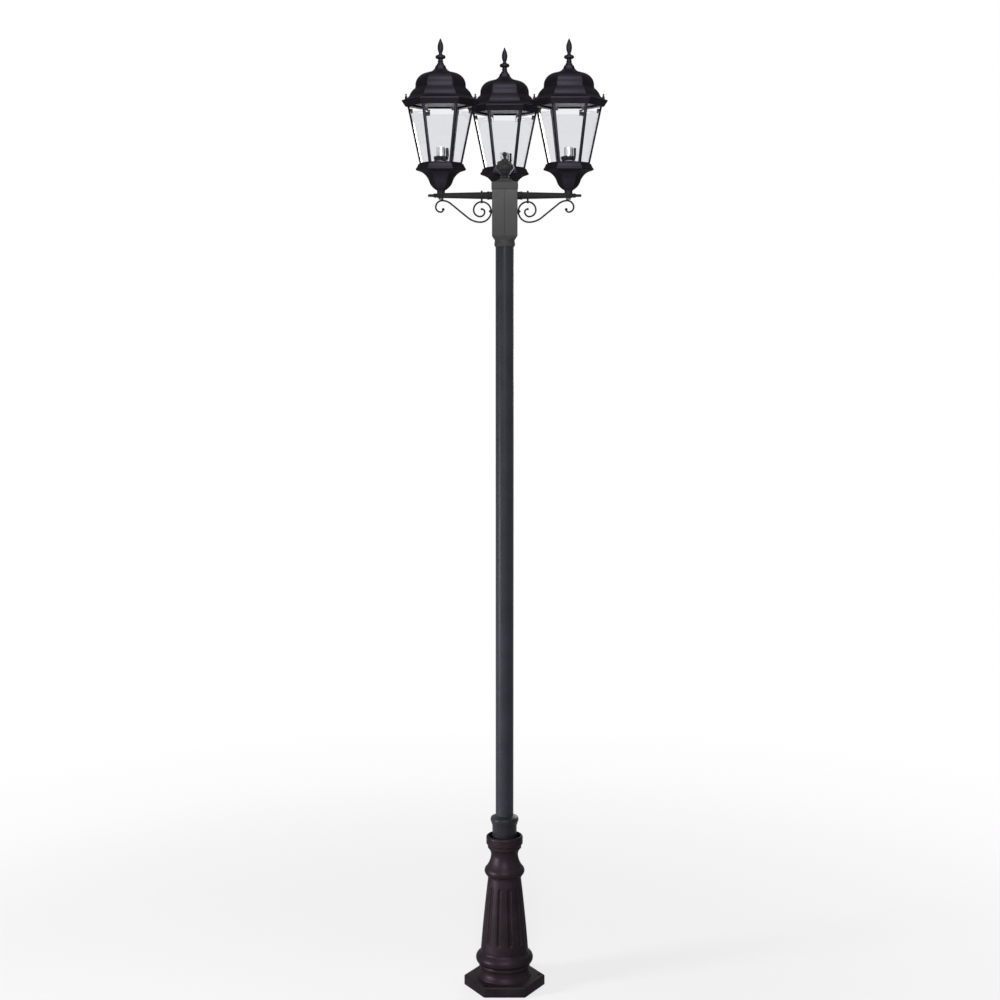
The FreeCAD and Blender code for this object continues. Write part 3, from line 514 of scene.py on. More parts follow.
def copies_round_axis():
    """Tree that sets copies of a piece evenly round the Z axis."""
    tree, gin, gout = new_tree("copies_round_axis", [("Count", "Int", 6)])
    line = tree.nodes.new("GeometryNodeMeshLine")
    line.inputs["Offset"].default_value = (0, 0, 0)
    tree.links.new(gin.outputs["Count"], line.inputs["Count"])
    index = tree.nodes.new("GeometryNodeInputIndex").outputs[0]
    step = maths(tree, "DIVIDE", TURN, gin.outputs["Count"])
    turn = tree.nodes.new("ShaderNodeCombineXYZ")
    tree.links.new(maths(tree, "MULTIPLY", index, step), turn.inputs["Z"])
    spread = tree.nodes.new("GeometryNodeInstanceOnPoints")
    tree.links.new(line.outputs[0], spread.inputs["Points"])
    tree.links.new(gin.outputs["Geometry"], spread.inputs["Instance"])
    tree.links.new(turn.outputs[0], spread.inputs["Rotation"])
    return close_tree(tree, spread.outputs[0], gin, gout)


def bent_rod():
    """Tree that sweeps a round bar along a line of edges."""
    tree, gin, gout = new_tree("bent_rod", [("Radius", "Float", 0.0027), ("Sides", "Int", 20)])
    section = tree.nodes.new("GeometryNodeCurvePrimitiveCircle")
    tree.links.new(gin.outputs["Radius"], section.inputs["Radius"])
    tree.links.new(gin.outputs["Sides"], section.inputs["Resolution"])
    line = tree.nodes.new("GeometryNodeMeshToCurve")
    tree.links.new(gin.outputs["Geometry"], line.inputs["Mesh"])
    sweep = tree.nodes.new("GeometryNodeCurveToMesh")
    sweep.inputs["Fill Caps"].default_value = True
    tree.links.new(line.outputs[0], sweep.inputs["Curve"])
    tree.links.new(section.outputs[0], sweep.inputs["Profile Curve"])
    return close_tree(tree, sweep.outputs[0], gin, gout)


def through_tree(obj, tree, material, **values):
    """Run an object through a geometry tree and keep the plain mesh."""
    step = obj.modifiers.new(tree.name, "NODES")
    step.node_group = tree
    sockets = {item.name: item.identifier for item in tree.interface.items_tree
               if item.in_out == "INPUT"}
    for label, value in dict(values, Material=material).items():
        step[sockets[label.replace("_", " ")]] = value
    mesh, name = evaluated(obj), obj.name
    bpy.data.objects.remove(obj)
    return new_object(name, mesh)


# ---- materials --------------------------------------------------------------
def shader_tree(name):
    """New material with its node tree, its output and its object coordinates."""
    material = bpy.data.materials.new(name)
    material.use_nodes = True
    tree = material.node_tree
    tree.nodes.clear()
    output = tree.nodes.new("ShaderNodeOutputMaterial")
    place = tree.nodes.new("ShaderNodeTexCoord").outputs["Object"]
    return material, tree, output, place


def noise(tree, place, scale, detail):
    """Noise value on object coordinates."""
    node = tree.nodes.new("ShaderNodeTexNoise")
    node.inputs["Scale"].default_value = scale
    node.inputs["Detail"].default_value = detail
    node.inputs["Roughness"].default_value = 0.55
    tree.links.new(place, node.inputs["Vector"])
    return node.outputs["Fac"]


def ranged(tree, value, low, high, to_low, to_high):
    """Map a value from one range to another, clamped."""
    node = tree.nodes.new("ShaderNodeMapRange")
    tree.links.new(value, node.inputs["Value"])
    for label, number in (("From Min", low), ("From Max", high), ("To Min", to_low),
                          ("To Max", to_high)):
        node.inputs[label].default_value = number
    return node.outputs["Result"]


def mixed(tree, factor, first, second):
    """Mix two colours, each a socket or an RGB value, by a socket."""
    node = tree.nodes.new("ShaderNodeMix")
    node.data_type = "RGBA"
    tree.links.new(factor, node.inputs["Factor"])
    for label, value in (("A", first), ("B", second)):
        socket = next(s for s in node.inputs if s.name == label and s.type == "RGBA")
        if isinstance(value, bpy.types.NodeSocket):
            tree.links.new(value, socket)
        else:
            socket.default_value = (*value, 1.0)
    return next(s for s in node.outputs if s.type == "RGBA")


def z_of(tree, vector):
    """Z component of a vector socket."""
    node = tree.nodes.new("ShaderNodeSeparateXYZ")
    tree.links.new(vector, node.inputs[0])
    return node.outputs["Z"]


def surface(name, **constants):
    """New material with a Principled shader whose fixed inputs are set."""
    material, tree, output, place = shader_tree(name)
    shader = tree.nodes.new("ShaderNodeBsdfPrincipled")
    for label, value in constants.items():
        shader.inputs[label.replace("_", " ")].default_value = value
    tree.links.new(shader.outputs[0], output.inputs["Surface"])
    return material, tree, shader, place


def dress(tree, shader, tint, wear, roughness, grain, depth):
    """Link a tint, a roughness that follows one noise and a relief that follows another."""
    bump = tree.nodes.new("ShaderNodeBump")
    bump.inputs["Distance"].default_value = depth
    tree.links.new(grain, bump.inputs["Height"])
    tree.links.new(bump.outputs[0], shader.inputs["Normal"])
    tree.links.new(tint, shader.inputs["Base Color"])
    tree.links.new(ranged(tree, wear, 0.3, 0.7, *roughness), shader.inputs["Roughness"])


def painted(name, colour, roughness=0.42, grain=900.0, depth=0.00005, mottle=0.14, dust=0.0,
            painted_foot_shade=None, specular=0.025, flake=0.0):
    """Paint on metal: fine grain, soft mottling, dust on what faces up, and painted shade darker
    towards the foot.

    Flake is the share of dark metal in it, which shines face on and stays dark edge on."""
    material, tree, shader, place = surface(name, Specular_IOR_Level=specular)
    if flake:
        shader.inputs["Metallic"].default_value = flake
        shader.inputs["Specular Tint"].default_value = (0, 0, 0, 1)
    broad, fine = noise(tree, place, 14.0, 4.0), noise(tree, place, grain, 2.0)
    tint = mixed(tree, ranged(tree, broad, 0.35, 0.65, 0, 1),
                 [c * (1 - mottle) for c in colour], [c * (1 + mottle) for c in colour])
    tint = mixed(tree, ranged(tree, fine, 0.4, 0.8, 0, 0.25), tint, [c * 1.6 for c in colour])
    # Painted shade: the colour darkens towards the foot between two heights, standing in for the
    # light that reaches less low down.
    if painted_foot_shade:
        low, high, dark = painted_foot_shade
        tint = mixed(tree, ranged(tree, z_of(tree, place), low, high, 0, 1),
                     [c * dark for c in colour], tint)
    if dust:
        facing = z_of(tree, tree.nodes.new("ShaderNodeNewGeometry").outputs["Normal"])
        patchy = maths(tree, "MULTIPLY", ranged(tree, facing, 0.55, 1.0, 0, dust),
                       ranged(tree, noise(tree, place, 45.0, 5.0), 0.3, 0.7, 0.3, 1))
        tint = mixed(tree, patchy, tint, (0.30, 0.28, 0.26))
    dress(tree, shader, tint, broad, (roughness - 0.06, roughness + 0.06), fine, depth)
    return material


def bare_metal(name, colour, roughness, metallic=1.0):
    """Plated or brushed metal with faint drawn lines."""
    material, tree, shader, place = surface(name, Metallic=metallic, Specular_IOR_Level=0.3)
    mapping = tree.nodes.new("ShaderNodeMapping")
    mapping.inputs["Scale"].default_value = (1, 1, 0.15)
    tree.links.new(place, mapping.inputs["Vector"])
    lines = noise(tree, mapping.outputs[0], 500.0, 3.0)
    tint = mixed(tree, ranged(tree, lines, 0.3, 0.7, 0, 1), [c * 0.88 for c in colour], colour)
    dress(tree, shader, tint, lines, (roughness - 0.07, roughness + 0.09), lines, 0.00002)
    return material


def dark_steel():
    """The blackened steel of the small hardware."""
    return (bpy.data.materials.get("dark steel")
            or bare_metal("dark steel", (0.045, 0.045, 0.047), 0.45, 0.6))


def moulded(name, colour, specular=0.1):
    """Moulded plastic with a fine matt grain."""
    material, tree, shader, place = surface(name, Specular_IOR_Level=specular)
    fine = noise(tree, place, 1600.0, 2.0)
    tint = mixed(tree, ranged(tree, fine, 0.35, 0.7, 0, 1), colour, [c * 1.35 for c in colour])
    dress(tree, shader, tint, fine, (0.37, 0.52), fine, 0.00003)
    return material


def window_glass(name, colour):
    """Clear pane glass that lets the lamps' light through."""
    material, tree, glass, _ = surface(name, Base_Color=(*colour, 1.0), Transmission_Weight=1.0,
                                       IOR=1.2, Roughness=0.0, Specular_IOR_Level=0.15)
    clear = tree.nodes.new("ShaderNodeBsdfTransparent")
    clear.inputs["Color"].default_value = (*colour, 1.0)
    choose = tree.nodes.new("ShaderNodeMixShader")
    path = tree.nodes.new("ShaderNodeLightPath")
    tree.links.new(path.outputs["Is Shadow Ray"], choose.inputs[0])
    tree.links.new(glass.outputs[0], choose.inputs[1])
    tree.links.new(clear.outputs[0], choose.inputs[2])
    output = next(node for node in tree.nodes if node.type == "OUTPUT_MATERIAL")
    tree.links.new(choose.outputs[0], output.inputs["Surface"])
    return material


def seen_directly(tree):
    """1 for camera, glossy and transmission rays, else 0."""
    path = tree.nodes.new("ShaderNodeLightPath").outputs
    first = maths(tree, "MAXIMUM", path["Is Camera Ray"], path["Is Glossy Ray"])
    return maths(tree, "MAXIMUM", first, path["Is Transmission Ray"])


# ---- settings ---------------------------------------------------------------
def length(name, description, default, low, high):
    """Setting for a length in metres."""
    return FloatProperty(name=name, description=description, default=default, min=low, max=high,
                         unit="LENGTH")


def swatch(name, description, *default):
    """Setting for a colour."""
    return FloatVectorProperty(name=name, description=description, subtype="COLOR", size=3,
                               default=default)


class BaseSettings(bpy.types.PropertyGroup):
    """Cast base."""
    flute_count: IntProperty(name="Flutes", description="Grooves round the column", default=12,
                             min=6, max=24)
    flute_radius: length("Flute radius", "Radius of each groove's tool", 0.0075, 0.004, 0.012)
    flute_depth: length("Flute depth", "Depth of each groove", 0.0046, 0.001, 0.007)
    colour: swatch("Paint", "Brown-black paint of the casting", 0.0165, 0.0120, 0.0150)


class PoleSettings(bpy.types.PropertyGroup):
    """Pole and sleeve."""
    radius: length("Pole radius", "Outside radius of the tube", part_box("pole_tube")[1].x,
                   0.01, 0.06)
    colour: swatch("Paint", "Blue-grey charcoal paint of the tube", 0.0185, 0.0185, 0.0245)
    sleeve: swatch("Sleeve paint", "Paint of the sleeve", 0.0140, 0.0143, 0.0177)


class HubSettings(bpy.types.PropertyGroup):
    """Hub, cap, urn and arms."""
    colour: swatch("Hub paint", "Neutral grey paint of the hub", 0.059, 0.060, 0.059)
    urn: swatch("Urn paint", "Dark grey paint of the urn", 0.020, 0.020, 0.020)
    arm: swatch("Arm paint", "Charcoal paint of arms and scrolls", 0.016, 0.016, 0.016)
    rod_radius: length("Rod radius", "Radius of the scroll's bar", 0.0027, 0.001, 0.006)


class LanternSettings(bpy.types.PropertyGroup):
    """Lanterns."""
    bevel: length("Pane bevel", "Width of the panes' bevelled border", 0.008, 0.001, 0.02)
    colour: swatch("Paint", "Plum-black paint of the castings", 0.0180, 0.0160, 0.0215)
    lining: swatch("Lining", "Pale enamel inside the roofs", 0.70, 0.70, 0.71)
    glass: swatch("Glass", "Tint of one pane", 0.858, 0.862, 0.878)
    shell: swatch("Shell", "Plated metal of the lamp shell", 0.62, 0.65, 0.68)


class StageSettings(bpy.types.PropertyGroup):
    """Floor, light and camera."""
    floor: swatch("Floor", "Pale floor", 0.905, 0.895, 0.90)
    key_power: FloatProperty(name="Key light", description="Power of the soft key light",
                             default=200.0, min=0, unit="POWER")
    ambient: FloatProperty(name="Ambient", description="Strength of the even light", default=0.11,
                           min=0, max=2)
    lens: FloatProperty(name="Lens", description="Focal length", default=63.0, min=20, max=200,
                        unit="CAMERA")


SETTINGS = {"base": BaseSettings, "pole": PoleSettings, "hub": HubSettings,
            "lantern": LanternSettings, "stage": StageSettings}


def settings(group):
    """A group of the scene's lamp post settings."""
    return getattr(bpy.context.scene, "lamp_post_" + group)


# ---- pieces -----------------------------------------------------------------
class LAMPPOST_OT_base(bpy.types.Operator):
    """Cast base: foot plate, bell, roll, fluted column, ring, vase and cup"""
    bl_idname = "lamp_post.base"
    bl_label = "Cast Base"

    def execute(self, context):
        s = settings("base")
        plate = skin("plate", outline((0, 0), (113, 0), (113, 30), (110, 33), (0, 33), ease=1.2),
                     sided_ring(6, 0, 2.2))
        rows = [(column_radius(z), z) for z in self.column_heights()]
        lower = outline((0, 25), (88, 25), (90.5, 33.4), ((88.5, 34.4), (87.6, 36.5)),
                        ((82, 46), (80, 62)), (80.4, 64), ((82.2, 70), (80.9, 76)),
                        ((92.4, 93), (80.5, 112)), ((77.3, 116), rows[0]))
        upper = outline(rows[-1], (55.5, 364), (55.5, 368), (57.2, 369), ((64.5, 383), (57, 397)),
                        (54.7, 401), ((46.5, 419), (43.5, 434)), ((45.9, 448), (53.8, 459)),
                        (53.8, 468), (58.6, 473), (58.6, 491.5), ((57.1, 497.5), (53.6, 499.5)),
                        (0, 499.5))
        ring = fluted_ring(s.flute_count, s.flute_radius / MM, s.flute_depth / MM)
        body = skin("base", lower + rows[1:-1] + upper, ring)
        inside = lathe("inside", outline(
            (0, -5), (79, -5), (79, 29), (72, 60), (72, 106), (66.2, 124), (44.4, 362),
            (37.5, 408), (24, 408), (24, 420), (35, 420), (35, 470), (47, 470),
            ((49.8, 471.2), (51, 474)), (51, 495.5), (53, 500.5), (0, 500.5), ease=0.5), 96)
        pocket = skin("pocket", outline((0, -5), (105, -5), (105, 25), (0, 25)),
                      sided_ring(6, 0, 2))
        bosses, holes = [], []
        for k in range(3):
            place = (112 * math.cos(TURN * k / 3), 112 * math.sin(TURN * k / 3), 0)
            bosses.append(rod("boss", 12, 32, place, sides=40))
            holes.append(rod("hole", 5.5, 46, (place[0], place[1], -5), sides=40, ease=0))
        worked(plate, cut=[pocket])
        worked(body, add=[plate] + bosses, cut=[inside] + holes)
        outward(body, 2e-6)
        dark = painted("cast iron paint", s.colour, grain=420, depth=0.00012, mottle=0.2,
                       dust=0.03, specular=0.05, flake=0.5)
        finish(body, "base_casting.made", dark, "post", ["base_casting"], 28)
        return {"FINISHED"}

    @staticmethod
    def column_heights():
        """Rows up the column, close together at the flutes' round ends."""
        low, high = FLUTE_ENDS
        ends = [low - 7.5 + 0.75 * k for k in range(21)]
        middle = [low + 8 + (high - low - 16) * k / 12 for k in range(1, 12)]
        tops = [high + 7.5 - 0.75 * k for k in range(20, -1, -1)]
        return [COLUMN_ENDS[0], 128, 134, 140] + ends + middle + tops + [
            344, 350, 356, COLUMN_ENDS[1]]


class LAMPPOST_OT_pole(bpy.types.Operator):
    """Tube pole, the sleeve round its foot and the two grip screws"""
    bl_idname = "lamp_post.pole"
    bl_label = "Pole and Sleeve"

    def execute(self, context):
        s = settings("pole")
        low, high = (corner.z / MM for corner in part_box("pole_tube"))
        radius = s.radius / MM
        bore = radius - 2.5
        tube = lathe("tube", rows_up(radius, low, high, 80) + [(bore, high), (bore, low)], 96)
        charcoal = painted("pole paint", s.colour, 0.38, 1100, 0.00003, 0.12, specular=0.05)
        finish(tube, "pole_tube.made", charcoal, "post", ["pole_tube"])

        sleeve = lathe("sleeve", outline(
            (28.6, 420), (34.9, 420), (34.9, 470), (39.2, 470), (39.2, 536), (41.5, 537),
            (41.5, 542), (42.5, 543), ((45.1, 551.5), (42.5, 560)), (38.2, 561), (28.6, 566)), 96)
        holes = [turned(rod("hole", 4.1, 20, (28, 0, GRIP_HEIGHT), (1, 0, 0)), a)
                 for a in GRIP_ANGLES]
        worked(sleeve, cut=holes)
        dark = painted("sleeve paint", s.sleeve, 0.38, 700, 0.00006, 0.15, specular=0.05)
        finish(sleeve, "pole_sleeve.made", dark, "post", ["pole_sleeve"], 28)

        screws = []
        for angle in GRIP_ANGLES:
            screw = lathe("screw", outline((0, 0), (3.9, 0), (3.9, 12.6), (3.3, 13.2), (0, 13.2),
                                           ease=0.3), 32)
            key = skin("key", outline((0, 10.2), (1.8, 10.2), (1.8, 14), (0, 14), ease=0),
                       sided_ring(6, 0, 0.2))
            worked(screw, cut=[key])
            screw.data.transform(Matrix.Translation(Vector((28.5, 0, GRIP_HEIGHT)) * MM)
                                 @ Matrix.Rotation(math.pi / 2, 4, "Y"))
            screws.append(turned(screw, angle))
        joined(screws)
        finish(screws[0], "sleeve_screws.made", dark_steel(), "post", ["sleeve_screws"])
        return {"FINISHED"}


class LAMPPOST_OT_hub(bpy.types.Operator):
    """Square hub, its ogee cap, the urn on its stud and the terminals inside"""
    bl_idname = "lamp_post.hub"
    bl_label = "Hub"

    def execute(self, context):
        s = settings("hub")
        body = skin("hub", outline(
            (0, 2372), (30.9, 2372), (30.9, 2373), ((32.3, 2380), (30.9, 2387)), (30.9, 2391),
            (HUB_HALF, 2405.0), (HUB_HALF, 2544.5), (HUB_HALF, 2545), (0, 2545), ease=0.3),
            square_to_round(HUB_HALF, 3.5, 2391.3))
        socket = lathe("socket", outline((0, 2360), (28.6, 2360), (28.6, 2396), (24, 2396),
                                         (24, 2410), (0, 2410), ease=0), 64)
        wiring = slab("wiring", (-34.3, -34.3, 2408), (34.3, 34.3, 2560), 2)
        groove = extrude("groove", [(-1.7, -39.4, 2405), (1.7, -39.4, 2405), (0, -37.8, 2405)],
                         (0, 0, 145))
        cuts = [socket, wiring, groove]
        for angle in SIDES.values():
            for radius, height in ((9.1, ARM_HEIGHT), (2.1, ARM_HEIGHT - SCROLL_DROP)):
                hole = rod("hole", radius, 12, (32, 0, height), (1, 0, 0), ease=0)
                cuts.append(turned(hole, angle))
        worked(body, cut=cuts)
        bridge = slab("bridge", (-35.5, -7, 2505), (35.5, 7, 2511), 1)
        worked(body, add=[bridge], cut=[rod("stud", 3.1, 20, (0, 0, 2500), ease=0)])
        softened(body, 0.35, 40)
        # Painted shade: the hub's grey darkens to 0.6 of itself towards its foot.
        grey = painted("hub paint", s.colour, 0.5, 800, 0.00006, 0.1, painted_foot_shade=(2.37, 2.55, 0.6))
        finish(body, "hub_body.made", grey, "post", ["hub_body"], 30)

        foot, top = 2545.3, 2580.0
        cap = skin("cap", outline(
            (0, foot), (39, foot), (41, foot + 2.5), (41, foot + 16),
            ((39.8, foot + 21), (35, foot + 24)), ((21, top - 6), (13.5, top)), (0, top), ease=0.7),
            sided_ring(4, 45, 1.6))
        spigot = slab("spigot", (-33.8, -33.8, foot - 6), (33.8, 33.8, foot + 1), 0.8)
        hollow = slab("hollow", (-29.3, -29.3, foot - 8), (29.3, 29.3, foot + 15), 1)
        worked(cap, add=[spigot], cut=[hollow, rod("hole", 3.5, 50, (0, 0, foot), ease=0)])
        pale = painted("cap paint", [c * 0.72 for c in s.colour], 0.42, 800, 0.00006, 0.1)
        finish(cap, "hub_cap.made", pale, "hub_cap_body", ["hub_cap"], 30)

        foot = 2580.3
        bowl, ball = foot + 26, foot + 73
        neck, ball_radius = 4.2, 7.2
        ball_foot = ball - math.sqrt(ball_radius ** 2 - neck ** 2)
        urn = lathe("urn", outline(
            (0, foot), (11, foot), ((13.4, foot + 4), (11, foot + 8)), (10, foot + 9),
            ((15, foot + 13), (19.5, foot + 20)), (26, bowl), ((28.6, bowl + 7.5), (26, bowl + 15)),
            (24, bowl + 16), (17.5, bowl + 18.5), ((12.4, bowl + 24), (9.5, bowl + 31)),
            (neck, bowl + 34), (neck, ball_foot),
            domed(neck, ball_foot, ball + ball_radius - ball_foot), count=16), 80)
        worked(urn, cut=[rod("bore", 3.05, 12.3, (0, 0, foot - 0.1), ease=0)])
        dark = painted("urn paint", s.urn, 0.34, 900, 0.00004, 0.12, specular=0.05)
        finish(urn, "hub_finial.made", dark, "hub_finial_body", ["hub_finial"], 34)

        low, high = (corner.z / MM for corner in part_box("cap_stud"))
        stud = skin("stud", [(0, low)] + rows_up(3.0, low, high, 0.125) + [(0, high)],
                    threaded_ring(32, 1.0, 0.5))
        finish(stud, "cap_stud.made", dark_steel(), "post", ["cap_stud"])
        block = from_frame("block", "terminal_block", 0.5)
        finish(block, "terminal_block.made", moulded("terminal plastic", (0.62, 0.62, 0.59)),
               "post", ["terminal_block"])
        return {"FINISHED"}


class LAMPPOST_OT_arms(bpy.types.Operator):
    """Tapering arms with their clips, scrolls and scroll bolts"""
    bl_idname = "lamp_post.arms"
    bl_label = "Arms and Scrolls"

    def execute(self, context):
        s = settings("hub")
        charcoal = painted("arm paint", s.arm)
        rods = painted("rod paint", [c * 1.1 for c in s.arm], 0.45)
        sweep = bent_rod()
        for side, angle in SIDES.items():
            for make, piece, material, slot in (
                    (self.arm, "arm", charcoal, "lantern_paint"),
                    (self.clip, "arm_clip", charcoal, "lantern_paint"),
                    (lambda: self.scroll(sweep, rods, s.rod_radius), "scroll", rods, "rod_paint"),
                    (self.bolt, "scroll_bolt", rods, "rod_paint")):
                obj = placed(turned(make(), angle), UP * ARM_HEIGHT * MM)
                finish(obj, side + "_" + piece + ".made", material, "post", [side + "_" + piece],
                       34)
        return {"FINISHED"}

    @staticmethod
    def radius_at(reach):
        """Radius of the tapering arm at a distance from the hub's axis."""
        start = HUB_HALF + 15
        return 11.0 - (11.0 - 7.6) / (REACH + 11.5 - start) * (reach - start)

    def arm(self):
        inside, start, end, tip = HUB_HALF - 10, HUB_HALF + 15, REACH + 11.5, REACH + 40
        body = lathe("arm", outline(
            (0, inside), (9, inside), (9, HUB_HALF), (12, HUB_HALF), (12, start - 6),
            ((13.2, start - 3), (12, start)), (11, start), (7.6, end), (5.6, end + 1.5),
            ((6.8, end + 6), (5.6, end + 11)), (4.4, end + 12), (4.1, tip - 2.5),
            ((3.6, tip - 0.6), (2.2, tip)), (0, tip), ease=0.5), 64)
        turned(body, 90, "Y")
        seat_disc = rod("seat", 12.5, 13, (REACH, 0, 0), sides=48, ease=0.6)
        pad = rod("pad", 6.8, 8.5, (REACH, 0, 0), (0, 0, -1), sides=40, ease=0.4)
        bore = rod("bore", 5.5, REACH - inside + 1, (inside - 1, 0, 0), (1, 0, 0))
        hole = rod("hole", 5.1, 26, (REACH, 0, -12))
        return worked(body, add=[seat_disc, pad], cut=[bore, hole])

    def clip(self):
        place = HUB_HALF + 2.7 + 29
        outer = self.radius_at(place) + 2.2
        low = place - 3
        ring = rod("ring", outer, 6, (low, 0, 0), (1, 0, 0), sides=56, ease=0.7)
        lug = slab("lug", (low, -4.5, -23.7), (low + 6, 4.5, -outer + 1.5), 0.7)
        knob = rod("knob", 2.6, 3.2, (place, 0, outer - 0.8), ease=0.6)
        room = rod("room", self.radius_at(place) + 0.1, 10, (low - 2, 0, 0), (1, 0, 0), sides=56)
        eye = rod("eye", 3.0, 10, (low - 2, 0, -19.1), (1, 0, 0))
        return worked(ring, add=[lug, knob], cut=[room, eye])

    @staticmethod
    def path(start, heading, steps):
        """Points along arcs (radius, turn in degrees) and straight runs, in the XZ plane."""
        here, way, points = Vector(start), heading, [Vector(start)]
        for step in steps:
            if isinstance(step, tuple):
                radius, turn = step
                count = max(4, round(abs(turn) / 5))
                piece = math.radians(turn) / count
                for _ in range(count):
                    way += piece / 2
                    here = here + Vector((math.cos(way), 0, math.sin(way))) * (
                        2 * radius * math.sin(abs(piece) / 2))
                    points.append(here)
                    way += piece / 2
            else:
                here = here + Vector((math.cos(way), 0, math.sin(way))) * step
                points.append(here)
        return points

    def scroll(self, sweep, material, radius):
        start = (HUB_HALF + 2.7, 0, -SCROLL_DROP)
        inner = self.path(start, math.pi / 2,
                          [(29, -90), (25, -90), (20, -90), (14, -90), (9, -90)])
        outer = self.path(start, -math.pi / 2, [(33, 90), (62, 39), 67.7, (41.6, -39), (20, -90),
                                                (15, -90), (8, -90)])
        points = [point * MM for point in inner[::-1] + outer[1:]]
        line = bpy.data.meshes.new("scroll")
        line.from_pydata(points, [(k, k + 1) for k in range(len(points) - 1)], [])
        bar = through_tree(new_object("scroll", line), sweep, material, Radius=radius, Sides=24)
        balls = []
        for size, point in ((4.6, outer[-1]), (3.6, inner[-1])):
            ball = lathe("ball", outline((0, -size), ((size, 0), (0, size)), count=20), 32)
            balls.append(placed(ball, point * MM))
        pad = rod("pad", 5.6, 6.2, (HUB_HALF, 0, -SCROLL_DROP), (1, 0, 0), ease=0.8)
        worked(outward(bar), add=balls + [pad])
        hole = rod("hole", 2.1, 9, (HUB_HALF - 1, 0, -SCROLL_DROP), (1, 0, 0), ease=0)
        return worked(bar, cut=[hole])

    @staticmethod
    def bolt():
        seat_at = HUB_HALF + 6.2
        body = lathe("bolt", outline((0, HUB_HALF - 6), (2, HUB_HALF - 6), (2, seat_at),
                                     (4.2, seat_at), (4.2, seat_at + 1),
                                     domed(4.2, seat_at + 1, 2.8), ease=0.3), 40)
        turned(body, 90, "Y")
        return placed(body, UP * -SCROLL_DROP * MM)


# ---- lanterns ---------------------------------------------------------------
def roof_outline(wall):
    """Half outline of the roof, or of its inside when a wall is given."""
    side = wall / COS30

    def spot(corner, height, drop=1.0, share=1.0):
        return flat(corner - side * share, height - wall * drop)
    return outline(
        (0, ROOF_FOOT - wall), spot(108.5, ROOF_FOOT), spot(108.5, ROOF_FOOT, 0),
        spot(118.5, 271, 0.5), spot(119.5, 272, 0.5), spot(119.5, 275), spot(118, 276.5),
        (spot(103.5, 282.2), spot(96.5, 288.5)), (spot(91.6, 298.5), spot(84.5, 307)),
        spot(83, 309), spot(79, 311.5), spot(77.6, 316), spot(77.6, 322),
        (spot(67.2, 346), spot(38, 360)), (spot(23.5, 365.5, 1, 0.5), spot(15.5, 380, 1, 0.5)),
        (0, 380 - wall), ease=0.9, count=12)


def bowl():
    """Ogee bowl with its rim, hollow from the top."""
    body = skin("bowl", outline(
        (0, 0), flat(13, 0), flat(13, 2.5), (flat(28, 14), flat(37, 30)),
        (flat(44.5, 44.5), flat(60, 58)), flat(76, 63.5), flat(78, 66), flat(78, 68.5),
        flat(75.5, 70.5), flat(71, 79.5), flat(70, 83), (0, 83), ease=0.9, count=12),
        sided_ring(6, 0, 2.2))
    hollow = lathe("hollow", outline((0, 12), (11, 12), (27.5, 31), (29.5, 38), (44, 60), (48, 70),
                                     (48, 84), (0, 84)), 72)
    return worked(body, cut=[hollow, rod("hole", 5.1, 15, (0, 0, -1), ease=0)])


def roof():
    """Domed roof shell with its finial boss and two screw bosses."""
    shell = skin("roof", roof_outline(0.0), sided_ring(6, 0, 2.4))
    inside = skin("inside", roof_outline(3.5), sided_ring(6, 0, 1.0))
    worked(shell, cut=[inside])
    bosses = [rod("boss", 7, 13.8, (0, 0, 366))]
    holes = [rod("hole", 3.05, 18, (0, 0, 364), ease=0)]
    for reach in (ROOF_SCREW_REACH, -ROOF_SCREW_REACH):
        bosses.append(rod("boss", 4, 14.1, (reach, 0, 272.3), ease=0.6))
        holes.append(rod("hole", 1.7, 22, (reach, 0, 270), ease=0))
    worked(shell, add=bosses, cut=holes)
    line = roof_outline(0.0)[1:]

    def within(place, normal):
        """Whether a face lies behind the roof's outer skin."""
        apothem = max(abs(place.x * math.cos(a) + place.y * math.sin(a))
                      for a in (math.pi / 6, math.pi / 2, math.pi * 5 / 6))
        k = next((k for k, spot in enumerate(line) if spot[1] >= place.z), len(line) - 1)
        low, high = line[max(k - 1, 0)], line[k]
        share = min((place.z - low[1]) / max(high[1] - low[1], 1e-6), 1)
        return (ROOF_FOOT + 0.5 < place.z < 378 and
                apothem < low[0] + (high[0] - low[0]) * share - 1.2)
    return marked(shell, within)


def finial():
    """Turned spear on its disc."""
    return lathe("finial", outline(
        (0, 367.3), (3, 367.3), (3, 380.3), (11.5, 380.3), ((10.8, 384.3), (8, 387.3)),
        (7.6, 389.3), ((8.8, 391.3), (7.6, 393.3)), (7.4, 398.5), (9.5, 399.5),
        ((14.2, 401.4), (15.5, 405)), ((14.0, 408.8), (8, 410.5)), (4.8, 416),
        ((8.9, 435), (4.5, 452)), (1.2, 460.5), (0, 460.5), ease=0.5, count=14))


def roof_screws():
    """Two knobbed screws through the eaves."""
    screws = []
    for reach in (ROOF_SCREW_REACH, -ROOF_SCREW_REACH):
        screw = lathe("screw", outline(
            (0, 268.5), (1.6, 268.5), (1.6, 286.4), (2.8, 286.4), (2.8, 287.4), (2.0, 288.4),
            (2.0, 290.4), domed(2.0, 290.4, 4.7), ease=0.25, count=8), 28)
        screws.append(placed(screw, Vector((reach, 0, 0)) * MM))
    return joined(screws)


def nipple():
    """Hollow threaded tube that holds the bowl down."""
    low, high = -25.5, 18.0
    tube = skin("nipple", [(0, low)] + rows_up(5.0, low, high, 0.14) + [(0, high)],
                threaded_ring(36, 1.1, 0.5))
    return worked(tube, cut=[rod("bore", 3.5, high - low + 2, (0, 0, low - 1), ease=0)])


